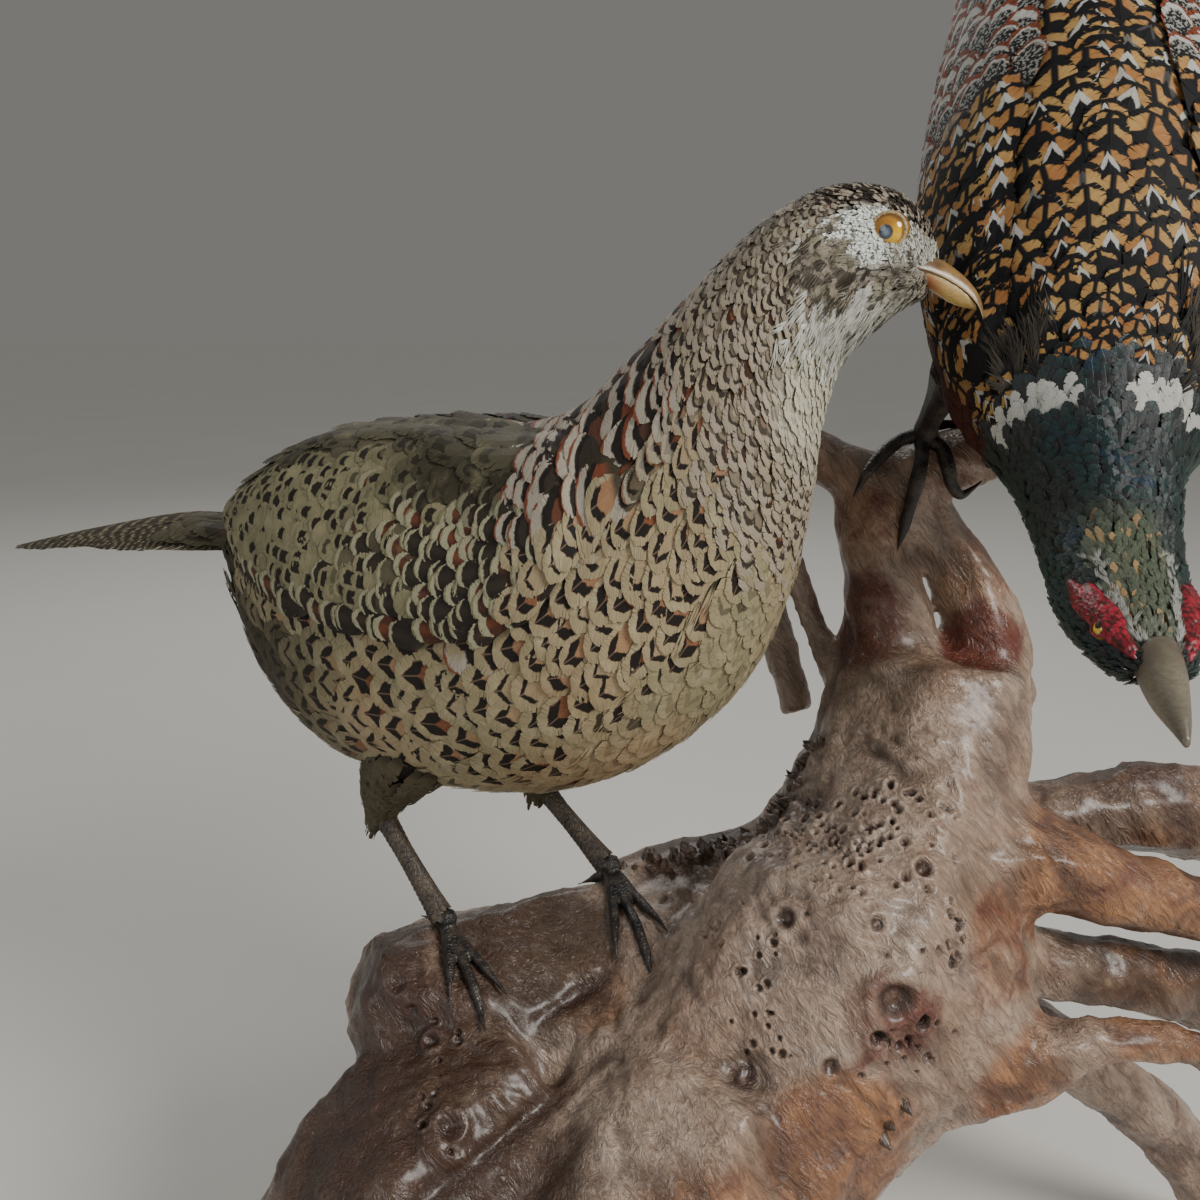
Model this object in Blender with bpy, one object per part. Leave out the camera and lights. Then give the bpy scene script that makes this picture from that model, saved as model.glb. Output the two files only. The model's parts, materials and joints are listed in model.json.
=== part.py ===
"""Mounted pair of ring-necked pheasants on a varnished root: the hen in full, the cock as one solid.

All working lengths are centimetres, turned into metres when a mesh is made. A bird is laid out in
its own upright middle plane: s runs forward, u up and w to the bird's left. The working frame has
X to the right, Y back and Z up from the floor, and one empty carries every part so that the origin
lies at the bottom centre of the whole mount.
"""

import math

import bmesh
import bpy
from mathutils import Vector
from mathutils.bvhtree import BVHTree

CM = 0.01
GAP = 0.0003  # metres between parts that touch

# ------------------------------------------------------------------ driving dimensions (cm)

HEN_AT = Vector((-2.7, 47.3, 32.8))  # middle of the hen's trunk
HEN_YAW = 30.0  # degrees the hen is turned towards the front
HEN_HEAD_YAW = -10.0  # degrees the head turns back from the body
HEN_NECK_BEND_AT = 10.0  # s where that turn is centred
COCK_AT = Vector((17.7, 47.0, 43.5))
COCK_YAW = 101.5
COCK_HEAD_YAW = -4.0
COCK_NECK_BEND_AT = 11.0

EYE_RADIUS = 0.62
HEN_EYE = (13.55, 13.31, 0.97)  # s, u and distance from the middle plane
HEN_TAIL_HALF_WIDTH = 2.3
COCK_TAIL_HALF_WIDTH = 3.0
WING_THICK = 0.75  # how far a folded wing stands proud of the body
WING_SUNK = 0.45
WING_RIM = 0.35  # share of its thickness that a wing keeps at its rims
ANKLE_HEIGHT = 0.75
BODY_SIDES = 15
EGG = 0.12  # how much wider a body is below its middle

TOE_RADIUS = 0.30
CLAW_LENGTH = 1.0
REACH = 0.025  # metres a toe feels up and down for the wood at each step

# Each station of a bird is a slanting ring: (s, u) of its top, (s, u) of its bottom, half width.
HEN_STATIONS = [
    (-14.6, 2.1, -14.3, 0.7, 1.3),
    (-13.4, 3.5, -13.7, -1.3, 2.4),
    (-11.6, 4.8, -12.4, -3.9, 3.5),
    (-9.4, 5.9, -10.4, -6.0, 4.6),
    (-6.3, 6.7, -7.3, -7.5, 5.6),
    (-2.6, 7.0, -3.0, -7.8, 6.2),
    (0.8, 7.0, 1.9, -7.1, 6.3),
    (2.9, 7.8, 5.6, -5.4, 6.0),
    (4.6, 9.2, 8.5, -2.6, 5.3),
    (6.2, 10.8, 10.3, 0.8, 4.4),
    (7.8, 12.4, 11.1, 4.2, 3.5),
    (9.3, 13.7, 11.4, 7.0, 2.7),
    (11.0, 14.65, 12.0, 9.1, 2.1),
    (12.2, 14.85, 12.8, 10.1, 1.75),
    (13.2, 14.7, 13.45, 10.6, 1.6),
    (14.0, 14.3, 14.05, 11.0, 1.3),
    (14.6, 13.6, 14.5, 11.25, 0.95),
    (14.92, 12.8, 14.75, 11.5, 0.62),
]
HEN_NECK_FROM, HEN_HEAD_FROM = 9, 12  # stations where the trunk ends and the head begins
HEN_UPPER_BILL = [
    (14.35, 12.95, 14.15, 12.08, 0.72),
    (14.95, 12.66, 14.75, 11.80, 0.58),
    (15.40, 12.20, 15.25, 11.55, 0.44),
    (15.90, 11.66, 15.75, 11.25, 0.31),
    (16.30, 11.14, 16.12, 10.95, 0.17),
    (16.47, 10.66, 16.38, 10.60, 0.06),
]
HEN_LOWER_BILL = [
    (14.15, 12.00, 14.30, 11.10, 0.66),
    (14.75, 11.74, 14.70, 11.24, 0.51),
    (15.25, 11.49, 15.20, 11.08, 0.39),
    (15.75, 11.19, 15.70, 10.93, 0.27),
    (16.08, 10.93, 16.05, 10.84, 0.12),
]
COCK_STATIONS = [
    (-12.6, 21.0, -13.8, 18.6, 1.6),
    (-10.5, 19.6, -13.0, 14.2, 2.8),
    (-7.6, 17.2, -12.0, 9.0, 4.0),
    (-4.6, 14.3, -9.8, 3.8, 4.9),
    (-1.6, 11.2, -6.6, -0.6, 5.5),
    (1.4, 7.9, -2.6, -4.0, 5.6),
    (4.1, 3.8, 1.2, -5.8, 5.1),
    (5.4, 0.4, 3.4, -6.4, 3.9),
    (6.6, -2.6, 4.0, -7.0, 2.9),
    (8.6, -4.6, 5.4, -7.6, 2.4),
    (10.4, -6.0, 7.6, -8.5, 2.1),
    (12.4, -7.0, 9.8, -9.3, 1.95),
    (13.9, -7.8, 11.8, -9.7, 1.75),
    (15.0, -8.5, 13.4, -9.9, 1.3),
    (15.6, -9.0, 14.6, -9.9, 0.85),
]
COCK_BILL = [
    (14.8, -8.7, 14.0, -9.8, 0.85),
    (15.8, -9.1, 15.2, -10.1, 0.72),
    (16.7, -9.5, 16.3, -10.3, 0.52),
    (17.5, -9.9, 17.2, -10.4, 0.32),
    (18.2, -10.4, 18.1, -10.6, 0.1),
]

# Centre line and radius of each limb of the root, in the working frame.
WOOD = {
    "mount_burl": [
        (3.6, 42.5, 11.0, 5.8),
        (7.3, 44.3, 15.3, 5.8),
        (10.6, 46.0, 19.4, 6.6),
        (11.9, 47.2, 22.1, 5.2),
        (13.2, 48.8, 25.8, 4.35),
        (13.7, 49.8, 29.6, 3.7),
    ],
    "mount_log": [
        (-9.5, 45.4, 17.6, 2.0),
        (-7.4, 46.0, 16.7, 3.2),
        (-4.0, 46.9, 15.6, 4.3),
        (0.0, 48.3, 14.9, 5.1),
        (6.0, 48.0, 15.4, 5.2),
    ],
    "mount_ledge": [
        (1.0, 50.0, 18.4, 2.4),
        (4.6, 50.0, 19.5, 2.3),
        (7.6, 50.0, 20.6, 2.2),
        (9.8, 50.0, 23.6, 2.1),
        (11.5, 50.0, 26.2, 1.9),
    ],
    "mount_root_left": [
        (-3.4, 44.4, 13.4, 4.8),
        (-7.8, 40.8, 10.8, 4.6),
        (-10.9, 37.4, 5.5, 4.1),
        (-11.8, 36.2, -1.0, 3.7),
    ],
    "mount_root_front": [
        (4.5, 43.5, 13.5, 6.0),
        (0.8, 39.8, 8.2, 6.2),
        (-0.6, 37.2, 2.4, 5.3),
        (-0.8, 36.4, -1.0, 5.0),
    ],
    "mount_root_back": [
        (8.0, 49.5, 18.0, 5.0),
        (7.0, 54.5, 10.0, 3.7),
        (5.5, 58.0, 3.0, 3.1),
        (5.2, 58.6, -1.0, 3.1),
    ],
    "mount_root_glossy": [
        (11.5, 46.2, 22.2, 4.0),
        (16.9, 45.9, 22.7, 2.25),
        (20.0, 46.1, 21.5, 1.75),
        (24.2, 46.4, 20.3, 1.4),
        (29.5, 47.0, 18.3, 1.25),
    ],
    "mount_root_upper": [
        (12.5, 49.0, 21.6, 2.6),
        (19.2, 50.6, 22.4, 1.7),
        (23.0, 51.3, 22.6, 2.1),
        (26.0, 52.0, 22.2, 2.2),
        (31.0, 53.5, 20.2, 2.0),
    ],
    "mount_root_middle": [
        (12.0, 46.2, 18.4, 3.0),
        (17.6, 46.6, 17.9, 1.6),
        (21.4, 47.2, 17.0, 1.55),
        (25.0, 48.0, 15.9, 1.6),
        (29.0, 49.4, 13.4, 1.5),
    ],
    "mount_root_thin": [
        (11.2, 44.0, 15.2, 3.2),
        (15.4, 42.8, 15.8, 2.2),
        (17.2, 42.4, 16.4, 1.35),
        (19.0, 42.3, 17.0, 0.95),
        (22.4, 42.6, 16.5, 0.8),
        (27.0, 43.8, 14.6, 0.8),
    ],
    "mount_root_right": [
        (11.5, 47.5, 15.5, 3.0),
        (18.8, 48.6, 13.2, 1.65),
        (24.8, 49.8, 8.6, 1.5),
        (28.8, 51.0, 3.4, 1.6),
        (30.6, 51.6, -1.0, 1.8),
    ],
    "mount_fork_left": [
        (12.2, 49.8, 28.2, 2.6),
        (11.8, 50.1, 31.2, 1.95),
        (11.1, 50.2, 33.8, 1.5),
        (11.0, 50.3, 35.8, 1.45),
        (12.4, 50.4, 37.4, 1.4),
        (15.2, 50.6, 38.1, 1.3),
        (20.2, 51.2, 39.2, 1.0),
    ],
    "mount_fork_right": [
        (15.5, 49.8, 27.2, 2.4),
        (16.1, 50.3, 30.2, 1.85),
        (15.2, 50.6, 32.9, 1.45),
        (13.9, 50.7, 34.7, 1.3),
        (12.6, 50.6, 36.4, 1.2),
    ],
    "mount_branch": [
        (11.4, 50.3, 36.5, 1.25),
        (8.6, 51.0, 38.2, 1.2),
        (6.6, 52.6, 36.6, 1.0),
        (7.0, 53.0, 32.4, 0.82),
        (8.6, 52.0, 26.8, 0.78),
    ],
    "mount_twig": [
        (7.0, 52.6, 35.6, 0.65),
        (8.3, 51.6, 32.9, 0.62),
        (10.1, 51.2, 28.3, 0.6),
    ],
}
WOOD_SIDES = {"mount_burl": 14, "mount_log": 11, "mount_root_left": 10, "mount_root_front": 10}
WOOD_SIDES_ELSE = 7
KNOBBLE = 0.07  # how far a limb departs from round, as a share of its radius

# Legs: (s, u, w) of the thigh's top, its middle, the heel and the ankle, and its radii.
HEN_THIGH_RADII = (2.1, 1.35, 0.7)
HEN_SHANK_RADII = (0.42, 0.34, 0.36, 0.44)
HEN_LEGS = {
    "r": ((-2.8, -5.2, -3.1), (-4.7, -7.2, -3.1), (-5.4, -8.6, -3.0), (-2.2, -12.2, -3.0)),
    "l": ((0.2, -4.6, 3.0), (-1.0, -7.0, 3.0), (-1.6, -8.8, 3.0), (1.9, -12.8, 3.0)),
}
# Toes: plan direction in the working frame (degrees from +X) and length with its claw.
HEN_TOES = {
    "r": ((-80.0, 3.2), (-60.0, 4.6), (-42.0, 3.7), (130.0, 1.9)),
    "l": ((-86.0, 4.2), (-68.0, 5.2), (-52.0, 4.2), (140.0, 1.9)),
}
COCK_LEGS = {
    "r": ((-3.5, 0.5, -2.6), (-4.4, -3.2, -2.4)),
    "l": ((-3.5, 0.5, 2.4), (-4.4, -2.6, 2.2)),
}
COCK_TOES = ((-165.0, 4.6), (-100.0, 5.0), (-50.0, 4.2), (90.0, 2.2))

# Folded wings, on the body's own surface: station, middle angle from the back and half angle.
HEN_WING = [
    (0.55, 52.0, 8.0),
    (1.6, 52.0, 21.0),
    (3.0, 52.0, 30.0),
    (4.4, 53.0, 33.0),
    (5.8, 56.0, 32.0),
    (7.0, 61.0, 26.0),
    (7.7, 65.0, 16.0),
]
COCK_WING = [
    (0.8, 50.0, 10.0),
    (2.0, 56.0, 26.0),
    (3.6, 60.0, 32.0),
    (5.0, 64.0, 30.0),
    (6.0, 68.0, 20.0),
]

COLOURS = {
    "plumage_buff": ((0.46, 0.36, 0.24), 0.85, 0.0),
    "plumage_olive": ((0.30, 0.25, 0.16), 0.85, 0.0),
    "plumage_grey_buff": ((0.42, 0.34, 0.28), 0.85, 0.0),
    "tail_brown": ((0.10, 0.08, 0.06), 0.80, 0.0),
    "bill_horn": ((0.55, 0.38, 0.20), 0.35, 0.0),
    "eye_amber": ((0.70, 0.36, 0.04), 0.05, 0.0),
    "leg_scale": ((0.16, 0.13, 0.10), 0.55, 0.0),
    "foot_dark": ((0.03, 0.025, 0.025), 0.45, 0.0),
    "cock_plumage": ((0.45, 0.22, 0.06), 0.70, 0.0),
    "root_wood": ((0.36, 0.17, 0.08), 0.30, 0.0),
}


# ------------------------------------------------------------------ general tools


def clear_scene():
    for obj in list(bpy.data.objects):
        bpy.data.objects.remove(obj)


def material(name):
    found = bpy.data.materials.get(name)
    if found:
        return found
    colour, roughness, metallic = COLOURS[name]
    made = bpy.data.materials.new(name)
    made.use_nodes = True
    made.diffuse_color = (*colour, 1.0)
    shader = made.node_tree.nodes["Principled BSDF"]
    shader.inputs["Base Color"].default_value = (*colour, 1.0)
    shader.inputs["Roughness"].default_value = roughness
    shader.inputs["Metallic"].default_value = metallic
    return made


def blend_rows(rows, t):
    """Smooth reading of a list of equal-length rows at the fractional place t (Catmull-Rom)."""
    last = len(rows) - 1
    t = min(max(t, 0.0), float(last))
    i = min(int(t), last - 1)
    f = t - i
    before, here, there, after = (rows[min(max(k, 0), last)] for k in (i - 1, i, i + 1, i + 2))
    out = []
    for a, b, c, d in zip(before, here, there, after):
        out.append(b + 0.5 * f * (c - a + f * (2 * a - 5 * b + 4 * c - d + f * (3 * (b - c) + d - a))))
    return out


def steps(start, end, count):
    return [start + (end - start) * i / (count - 1) for i in range(count)]


def mesh_object(name, rings, colour):
    """A closed body from rings of equally many points, in cm, with a flat cap at each end."""
    verts = [Vector(p) * CM for ring in rings for p in ring]
    n = len(rings[0])
    faces = []
    for r in range(len(rings) - 1):
        for k in range(n):
            j = (k + 1) % n
            faces.append((r * n + k, r * n + j, (r + 1) * n + j, (r + 1) * n + k))
    faces.append(tuple(range(n)))
    faces.append(tuple((len(rings) - 1) * n + k for k in range(n)))
    mesh = bpy.data.meshes.new(name)
    mesh.from_pydata(verts, [], faces)
    return finished(name, mesh, colour)


def finished(name, mesh, colour):
    tidy = bmesh.new()
    tidy.from_mesh(mesh)
    bmesh.ops.triangulate(tidy, faces=tidy.faces)
    bmesh.ops.recalc_face_normals(tidy, faces=tidy.faces)
    if tidy.calc_volume(signed=True) < 0:
        bmesh.ops.reverse_faces(tidy, faces=tidy.faces)
    tidy.to_mesh(mesh)
    tidy.free()
    mesh.materials.clear()
    mesh.materials.append(material(colour))
    mesh.shade_smooth()
    mesh.set_sharp_from_angle(angle=math.radians(50))
    obj = bpy.data.objects.new(name, mesh)
    bpy.context.scene.collection.objects.link(obj)
    return obj


def ball(name, centre, radii, colour, segments=14):
    """An ellipsoid in the working frame, in cm."""
    made = bmesh.new()
    bmesh.ops.create_uvsphere(made, u_segments=segments, v_segments=segments * 2 // 3, radius=1.0)
    for v in made.verts:
        v.co = Vector([(c + r * x) * CM for c, r, x in zip(centre, radii, v.co)])
    mesh = bpy.data.meshes.new(name)
    made.to_mesh(mesh)
    made.free()
    return finished(name, mesh, colour)


def tube_rings(points, radii, sides, knobble=0.0, seed=0.0):
    """Rings round a path, each square to it and turned as little as can be from the last."""
    rings = []
    side = Vector((0.3, 1.0, 0.1))
    for i, p in enumerate(points):
        ahead = (points[min(i + 1, len(points) - 1)] - points[max(i - 1, 0)]).normalized()
        side = (side - ahead * side.dot(ahead)).normalized()
        up = side.cross(ahead)
        ring = []
        for k in range(sides):
            a = math.tau * k / sides
            wave = math.sin(3 * a + seed + 0.7 * i) + 0.6 * math.sin(5 * a + 2 * seed - 0.4 * i)
            r = radii[i] * (1.0 + knobble * wave)
            ring.append(p + side * (r * math.cos(a)) + up * (r * math.sin(a)))
        rings.append(ring)
    return rings


def limb(name, rows, sides, colour, rings_per_span=2, knobble=0.0, seed=0.0):
    """A tapering limb along rows of (x, y, z, radius)."""
    count = (len(rows) - 1) * rings_per_span + 1
    path = [blend_rows(rows, t) for t in steps(0, len(rows) - 1, count)]
    points = [Vector(p[:3]) for p in path]
    return mesh_object(name, tube_rings(points, [p[3] for p in path], sides, knobble, seed), colour)


def boolean(obj, others, operation):
    """Changes an object's mesh by others', and keeps the largest piece that is left."""
    group = bpy.data.collections.new("operands")
    for other in others:
        group.objects.link(other)
    cut = obj.modifiers.new(operation, "BOOLEAN")
    cut.operation = operation
    cut.solver = "EXACT"
    cut.operand_type = "COLLECTION"
    cut.collection = group
    bpy.context.view_layer.update()
    graph = bpy.context.evaluated_depsgraph_get()
    mesh = bpy.data.meshes.new_from_object(obj.evaluated_get(graph))
    obj.modifiers.clear()
    bpy.data.collections.remove(group)
    for other in others:
        bpy.data.objects.remove(other)
    keep_largest(mesh)
    obj.data = mesh


def keep_largest(mesh):
    work = bmesh.new()
    work.from_mesh(mesh)
    bmesh.ops.triangulate(work, faces=work.faces)
    unseen = set(work.verts)
    groups = []
    while unseen:
        group, front = set(), [unseen.pop()]
        while front:
            v = front.pop()
            group.add(v)
            for edge in v.link_edges:
                w = edge.other_vert(v)
                if w in unseen:
                    unseen.discard(w)
                    front.append(w)
        groups.append(group)
    largest = max(groups, key=lambda g: sum(f.calc_area() for v in g for f in v.link_faces))
    for group in groups:
        if group is not largest:
            bmesh.ops.delete(work, geom=list(group), context="VERTS")
    work.to_mesh(mesh)
    work.free()


def swollen(obj, by=GAP):
    """A copy of an object with every point moved out, to cut its neighbours with."""
    copy = bpy.data.objects.new(obj.name + "_swollen", obj.data.copy())
    bpy.context.scene.collection.objects.link(copy)
    work = bmesh.new()
    work.from_mesh(copy.data)
    work.normal_update()
    moves = [v.normal * by * v.calc_shell_factor() for v in work.verts]
    for v, move in zip(work.verts, moves):
        v.co += move
    work.to_mesh(copy.data)
    work.free()
    return copy


def carve(obj, *others):
    """Takes each other part, and the gap round it, out of an object where they meet."""
    cutters = [swollen(other) for other in others if touching(obj, other)]
    if cutters:
        boolean(obj, cutters, "DIFFERENCE")


def unite(obj, *others):
    boolean(obj, others, "UNION")


def tree_of(objects):
    verts, faces = [], []
    for obj in objects:
        first = len(verts)
        verts += [v.co.copy() for v in obj.data.vertices]
        faces += [[first + i for i in p.vertices] for p in obj.data.polygons]
    return BVHTree.FromPolygons(verts, faces, epsilon=0.0)


def touching(a, b):
    """Whether the boxes round two parts meet."""
    for i in range(3):
        a_low, a_high = (pick(v.co[i] for v in a.data.vertices) for pick in (min, max))
        b_low, b_high = (pick(v.co[i] for v in b.data.vertices) for pick in (min, max))
        if a_low > b_high + 2 * GAP or b_low > a_high + 2 * GAP:
            return False
    return True


# ------------------------------------------------------------------ a bird's own frame


class Bird:
    """Turns a bird's own s, w and u into the working frame, and gives points on its body."""

    def __init__(self, at, yaw, stations, head_yaw=0.0, bend_at=0.0):
        self.at = at
        turn = math.radians(yaw)
        self.ahead = Vector((math.cos(turn), -math.sin(turn), 0.0))
        self.left = Vector((math.sin(turn), math.cos(turn), 0.0))
        self.stations = stations
        self.head_yaw = math.radians(-head_yaw)
        self.bend_at = bend_at

    def point(self, s, w, u):
        if self.head_yaw:
            eased = min(max((s - self.bend_at + 1.5) / 3.0, 0.0), 1.0)
            a = self.head_yaw * eased * eased * (3 - 2 * eased)
            run = s - self.bend_at
            s = self.bend_at + run * math.cos(a) - w * math.sin(a)
            w = run * math.sin(a) + w * math.cos(a)
        return self.at + self.ahead * s + self.left * w + Vector((0, 0, u))

    def skin(self, t, angle, stations=None):
        """The point of the body at a station and an angle from the back, left being positive."""
        top_s, top_u, low_s, low_u, half = blend_rows(stations or self.stations, t)
        c, e = math.cos(angle), math.sin(angle)
        s = (top_s + low_s) / 2 + c * (top_s - low_s) / 2
        u = (top_u + low_u) / 2 + c * (top_u - low_u) / 2
        return self.point(s, half * e * (1 - EGG * c), u)

    def lifted(self, t, angle, lift):
        """A point above or below the skin, along its outward normal."""
        here = self.skin(t, angle)
        along = self.skin(t + 0.02, angle) - self.skin(t - 0.02, angle)
        around = self.skin(t, angle + 0.02) - self.skin(t, angle - 0.02)
        out = along.cross(around).normalized()
        middle = (self.skin(t, 0.0) + self.skin(t, math.pi)) / 2
        if out.dot(here - middle) < 0:
            out = -out
        return here + out * lift

    def ring(self, t, sides, stations=None):
        return [self.skin(t, math.tau * k / sides, stations) for k in range(sides)]

    def loft(self, name, first, last, count, sides, colour, stations=None, trim=(0, 0)):
        """The body between two stations; trim moves an end in by half a gap, square to its ring."""
        rings = [self.ring(t, sides, stations) for t in steps(first, last, count)]
        for end, inner, wanted in ((0, 1, trim[0]), (-1, -2, trim[1])):
            if not wanted:
                continue
            ring = rings[end]
            third = sides // 3
            normal = (ring[third] - ring[0]).cross(ring[2 * third] - ring[0]).normalized()
            inward = normal if normal.dot(rings[inner][0] - ring[0]) > 0 else -normal
            rings[end] = [p + inward * (0.5 * GAP / CM) for p in ring]
        return mesh_object(name, rings, colour)

    def wing(self, name, rows, side, colour, thick=WING_THICK, across_count=6, along_count=9):
        """A folded wing that lies on the body: a lens over a patch of the skin, sunk into it."""
        rings = []
        for t in steps(0, len(rows) - 1, along_count):
            station, middle, half = blend_rows(rows, t)
            end = min(1.0, 2.2 * math.sin(math.pi * (t + 0.35) / (len(rows) - 0.3)))
            outer, inner = [], []
            for f in steps(-1.0, 1.0, across_count):
                angle = side * math.radians(middle + half * f)
                hump = math.sqrt(max(0.0, 1 - f * f))
                rise = WING_RIM + (1 - WING_RIM) * hump
                outer.append(self.lifted(station, angle, thick * end * rise))
                inner.append(self.lifted(station, angle, -WING_SUNK * (0.3 + 0.7 * end)))
            rings.append(outer + inner[::-1])
        return mesh_object(name, rings, colour)

    def tail(self, name, path, half_width, thick, tips, colour, count=12):
        """Folded tail feathers as a low roof, whose sides step in at each feather's tip."""
        rings = []
        for f in steps(0.0, 1.0, count):
            s, u = blend_rows(path, f * (len(path) - 1))
            passed = sum(1 for tip in tips if f > tip)
            width = half_width * (1 - passed / (len(tips) + 1.0)) * (1 - 0.25 * f)
            width = max(width * min(1.0, 9.0 * (1.02 - f)), 0.12)
            height = thick * (1 - 0.8 * f)
            droop = 0.35 * width
            shape = [
                (0.0, height), (0.5, 0.7 * height - 0.4 * droop), (1.0, 0.05 - droop),
                (1.0, -0.05 - droop), (0.5, -0.05 - 0.6 * droop), (0.0, -0.3 * height - 0.05),
                (-0.5, -0.05 - 0.6 * droop), (-1.0, -0.05 - droop), (-1.0, 0.05 - droop),
                (-0.5, 0.7 * height - 0.4 * droop),
            ]
            rings.append([self.point(s, width * x, u + z) for x, z in shape])
        return mesh_object(name, rings, colour)


# ------------------------------------------------------------------ feet that grip the wood


def outermost(tree, point, normal):
    """The surface met on the way in to a point from outside, and its normal there."""
    near, found, _, _ = tree.ray_cast(point + normal * REACH, -normal, 2 * REACH)
    if near is None:
        near, found, _, _ = tree.find_nearest(point)
    return near, found.lerp(normal, 0.4).normalized()


def march(tree, start, direction, length, lift, count):
    """A path that creeps over a surface from a start, at a height above it, in metres."""
    near, normal = outermost(tree, start, Vector((0, 0, 1)))
    here = near + normal * lift
    path = [here]
    for _ in range(count - 1):
        direction = (direction - normal * direction.dot(normal)).normalized()
        near, normal = outermost(tree, here + direction * (length / (count - 1)), normal)
        there = near + normal * lift
        direction = (there - here).normalized()
        path.append(there)
        here = there
    return path


def toe(name, tree, ankle, heading, length, colour, rings=8, sides=6):
    """A toe of swelling joints that thins into a curved claw, lying on the surface of a tree."""
    turn = math.radians(heading)
    lift = 0.85 * TOE_RADIUS
    flat = Vector((math.cos(turn), math.sin(turn), 0.0))
    path = [p / CM for p in march(tree, ankle * CM, flat, length * CM, lift * CM, rings)]
    path[0] = path[0].lerp(ankle, 0.5)
    share = 1 - CLAW_LENGTH / length
    radii = []
    for f in steps(0.0, 1.0, len(path)):
        swell = 1.0 + 0.10 * math.cos(3 * math.tau * f / max(share, 0.4))
        body = TOE_RADIUS * (1 - 0.3 * f) * swell
        radii.append(body if f < share else max(0.05, 0.55 * TOE_RADIUS * (1 - f) / (1 - share)))
    return mesh_object(name, tube_rings(path, radii, sides), colour)


def foot(name, tree, ankle, toes, colour, rings=6, sides=5):
    """The ankle knuckle and its toes with their claws, as one body."""
    made = ball(name, ankle, (0.48, 0.48, 0.45), colour, 6)
    grown = [
        toe(f"{name}_toe_{i}", tree, ankle, heading, length, colour, rings, sides)
        for i, (heading, length) in enumerate(toes)
    ]
    unite(made, *grown)
    return made


# ------------------------------------------------------------------ the parts


def make_wood():
    """Every limb of the root, still whole, and one search tree of all their faces."""
    parts = []
    for i, (name, rows) in enumerate(WOOD.items()):
        sides = WOOD_SIDES.get(name, WOOD_SIDES_ELSE)
        part = limb(name, rows, sides, "root_wood", 2, KNOBBLE, seed=1.3 * i)
        if min(row[2] for row in rows) < 0:
            floor_flat(part)
        parts.append(part)
    return parts, tree_of(parts)


def part_wood(parts):
    """Cuts each limb back to meet those before it, starting from the last."""
    for i in range(len(parts) - 1, 0, -1):
        carve(parts[i], *parts[:i])


def floor_flat(obj):
    """Cuts a root off at the floor, which leaves the flat that it stands on."""
    work = bmesh.new()
    work.from_mesh(obj.data)
    everything = work.verts[:] + work.edges[:] + work.faces[:]
    cut = bmesh.ops.bisect_plane(
        work, geom=everything, plane_co=(0, 0, 0), plane_no=(0, 0, -1), clear_outer=True
    )
    edges = [g for g in cut["geom_cut"] if isinstance(g, bmesh.types.BMEdge)]
    bmesh.ops.holes_fill(work, edges=edges, sides=0)
    bmesh.ops.triangulate(work, faces=work.faces)
    work.to_mesh(obj.data)
    work.free()


def make_hen(wood, whole):
    hen = Bird(HEN_AT, HEN_YAW, HEN_STATIONS, HEN_HEAD_YAW, HEN_NECK_BEND_AT)
    last = len(HEN_STATIONS) - 1
    trunk = hen.loft("trunk", 0, HEN_NECK_FROM, 11, BODY_SIDES, "plumage_buff", trim=(0, 1))
    neck = hen.loft(
        "neck", HEN_NECK_FROM, HEN_HEAD_FROM, 7, BODY_SIDES, "plumage_grey_buff", trim=(1, 1)
    )
    head = hen.loft("head", HEN_HEAD_FROM, last, 8, BODY_SIDES, "plumage_grey_buff", trim=(1, 0))
    bills = (("bill_upper", HEN_UPPER_BILL), ("bill_lower", HEN_LOWER_BILL))
    for name, rows in bills:
        bill = hen.loft(name, 0, len(rows) - 1, 2 * len(rows) - 2, 8, "bill_horn", rows)
        carve(bill, head)
    s, u, w = HEN_EYE
    eyes = [
        ball(f"eye_{side}", hen.point(s, sign * w, u), (EYE_RADIUS,) * 3, "eye_amber", 10)
        for side, sign in (("l", 1), ("r", -1))
    ]
    carve(head, *eyes)
    path = [(-13.0, 1.9), (-18.0, 1.9), (-24.0, 0.8), (-29.0, -0.3), (-32.3, -1.1)]
    tips = (0.50, 0.62, 0.74, 0.86)
    tail = hen.tail("tail", path, HEN_TAIL_HALF_WIDTH, 0.8, tips, "tail_brown")
    wings = [
        hen.wing(f"wing_{side}", HEN_WING, sign, "plumage_olive")
        for side, sign in (("l", 1), ("r", -1))
    ]
    carve(tail, trunk, *wings)
    for side, points in HEN_LEGS.items():
        make_leg(hen, side, points, trunk, wood, whole)
    carve(trunk, *wings)


def make_leg(hen, side, points, trunk, wood, whole):
    top, middle, heel, ankle = (hen.point(s, w, u) for s, u, w in points)
    ground = whole.ray_cast(Vector((ankle.x, ankle.y, 40.0)) * CM, Vector((0, 0, -1)))[0] / CM
    ankle = Vector((ankle.x, ankle.y, ground.z + ANKLE_HEIGHT))
    rows = [(*p, r) for p, r in zip((top, middle, heel), HEN_THIGH_RADII)]
    thigh = limb(f"thigh_{side}", rows, 10, "plumage_olive", 2)
    whole_thigh = swollen(thigh, 0.0)
    carve(thigh, trunk)
    knuckles = [heel.lerp(ankle, f) for f in (-0.08, 0.3, 0.75, 0.97)]
    rows = [(*p, r) for p, r in zip(knuckles, HEN_SHANK_RADII)]
    made = foot(f"foot_{side}", whole, ankle, HEN_TOES[side], "foot_dark")
    shank = limb(f"shank_{side}", rows, 6, "leg_scale", 2)
    carve(shank, whole_thigh, made)
    bpy.data.objects.remove(whole_thigh)
    carve(made, *wood)


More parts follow.
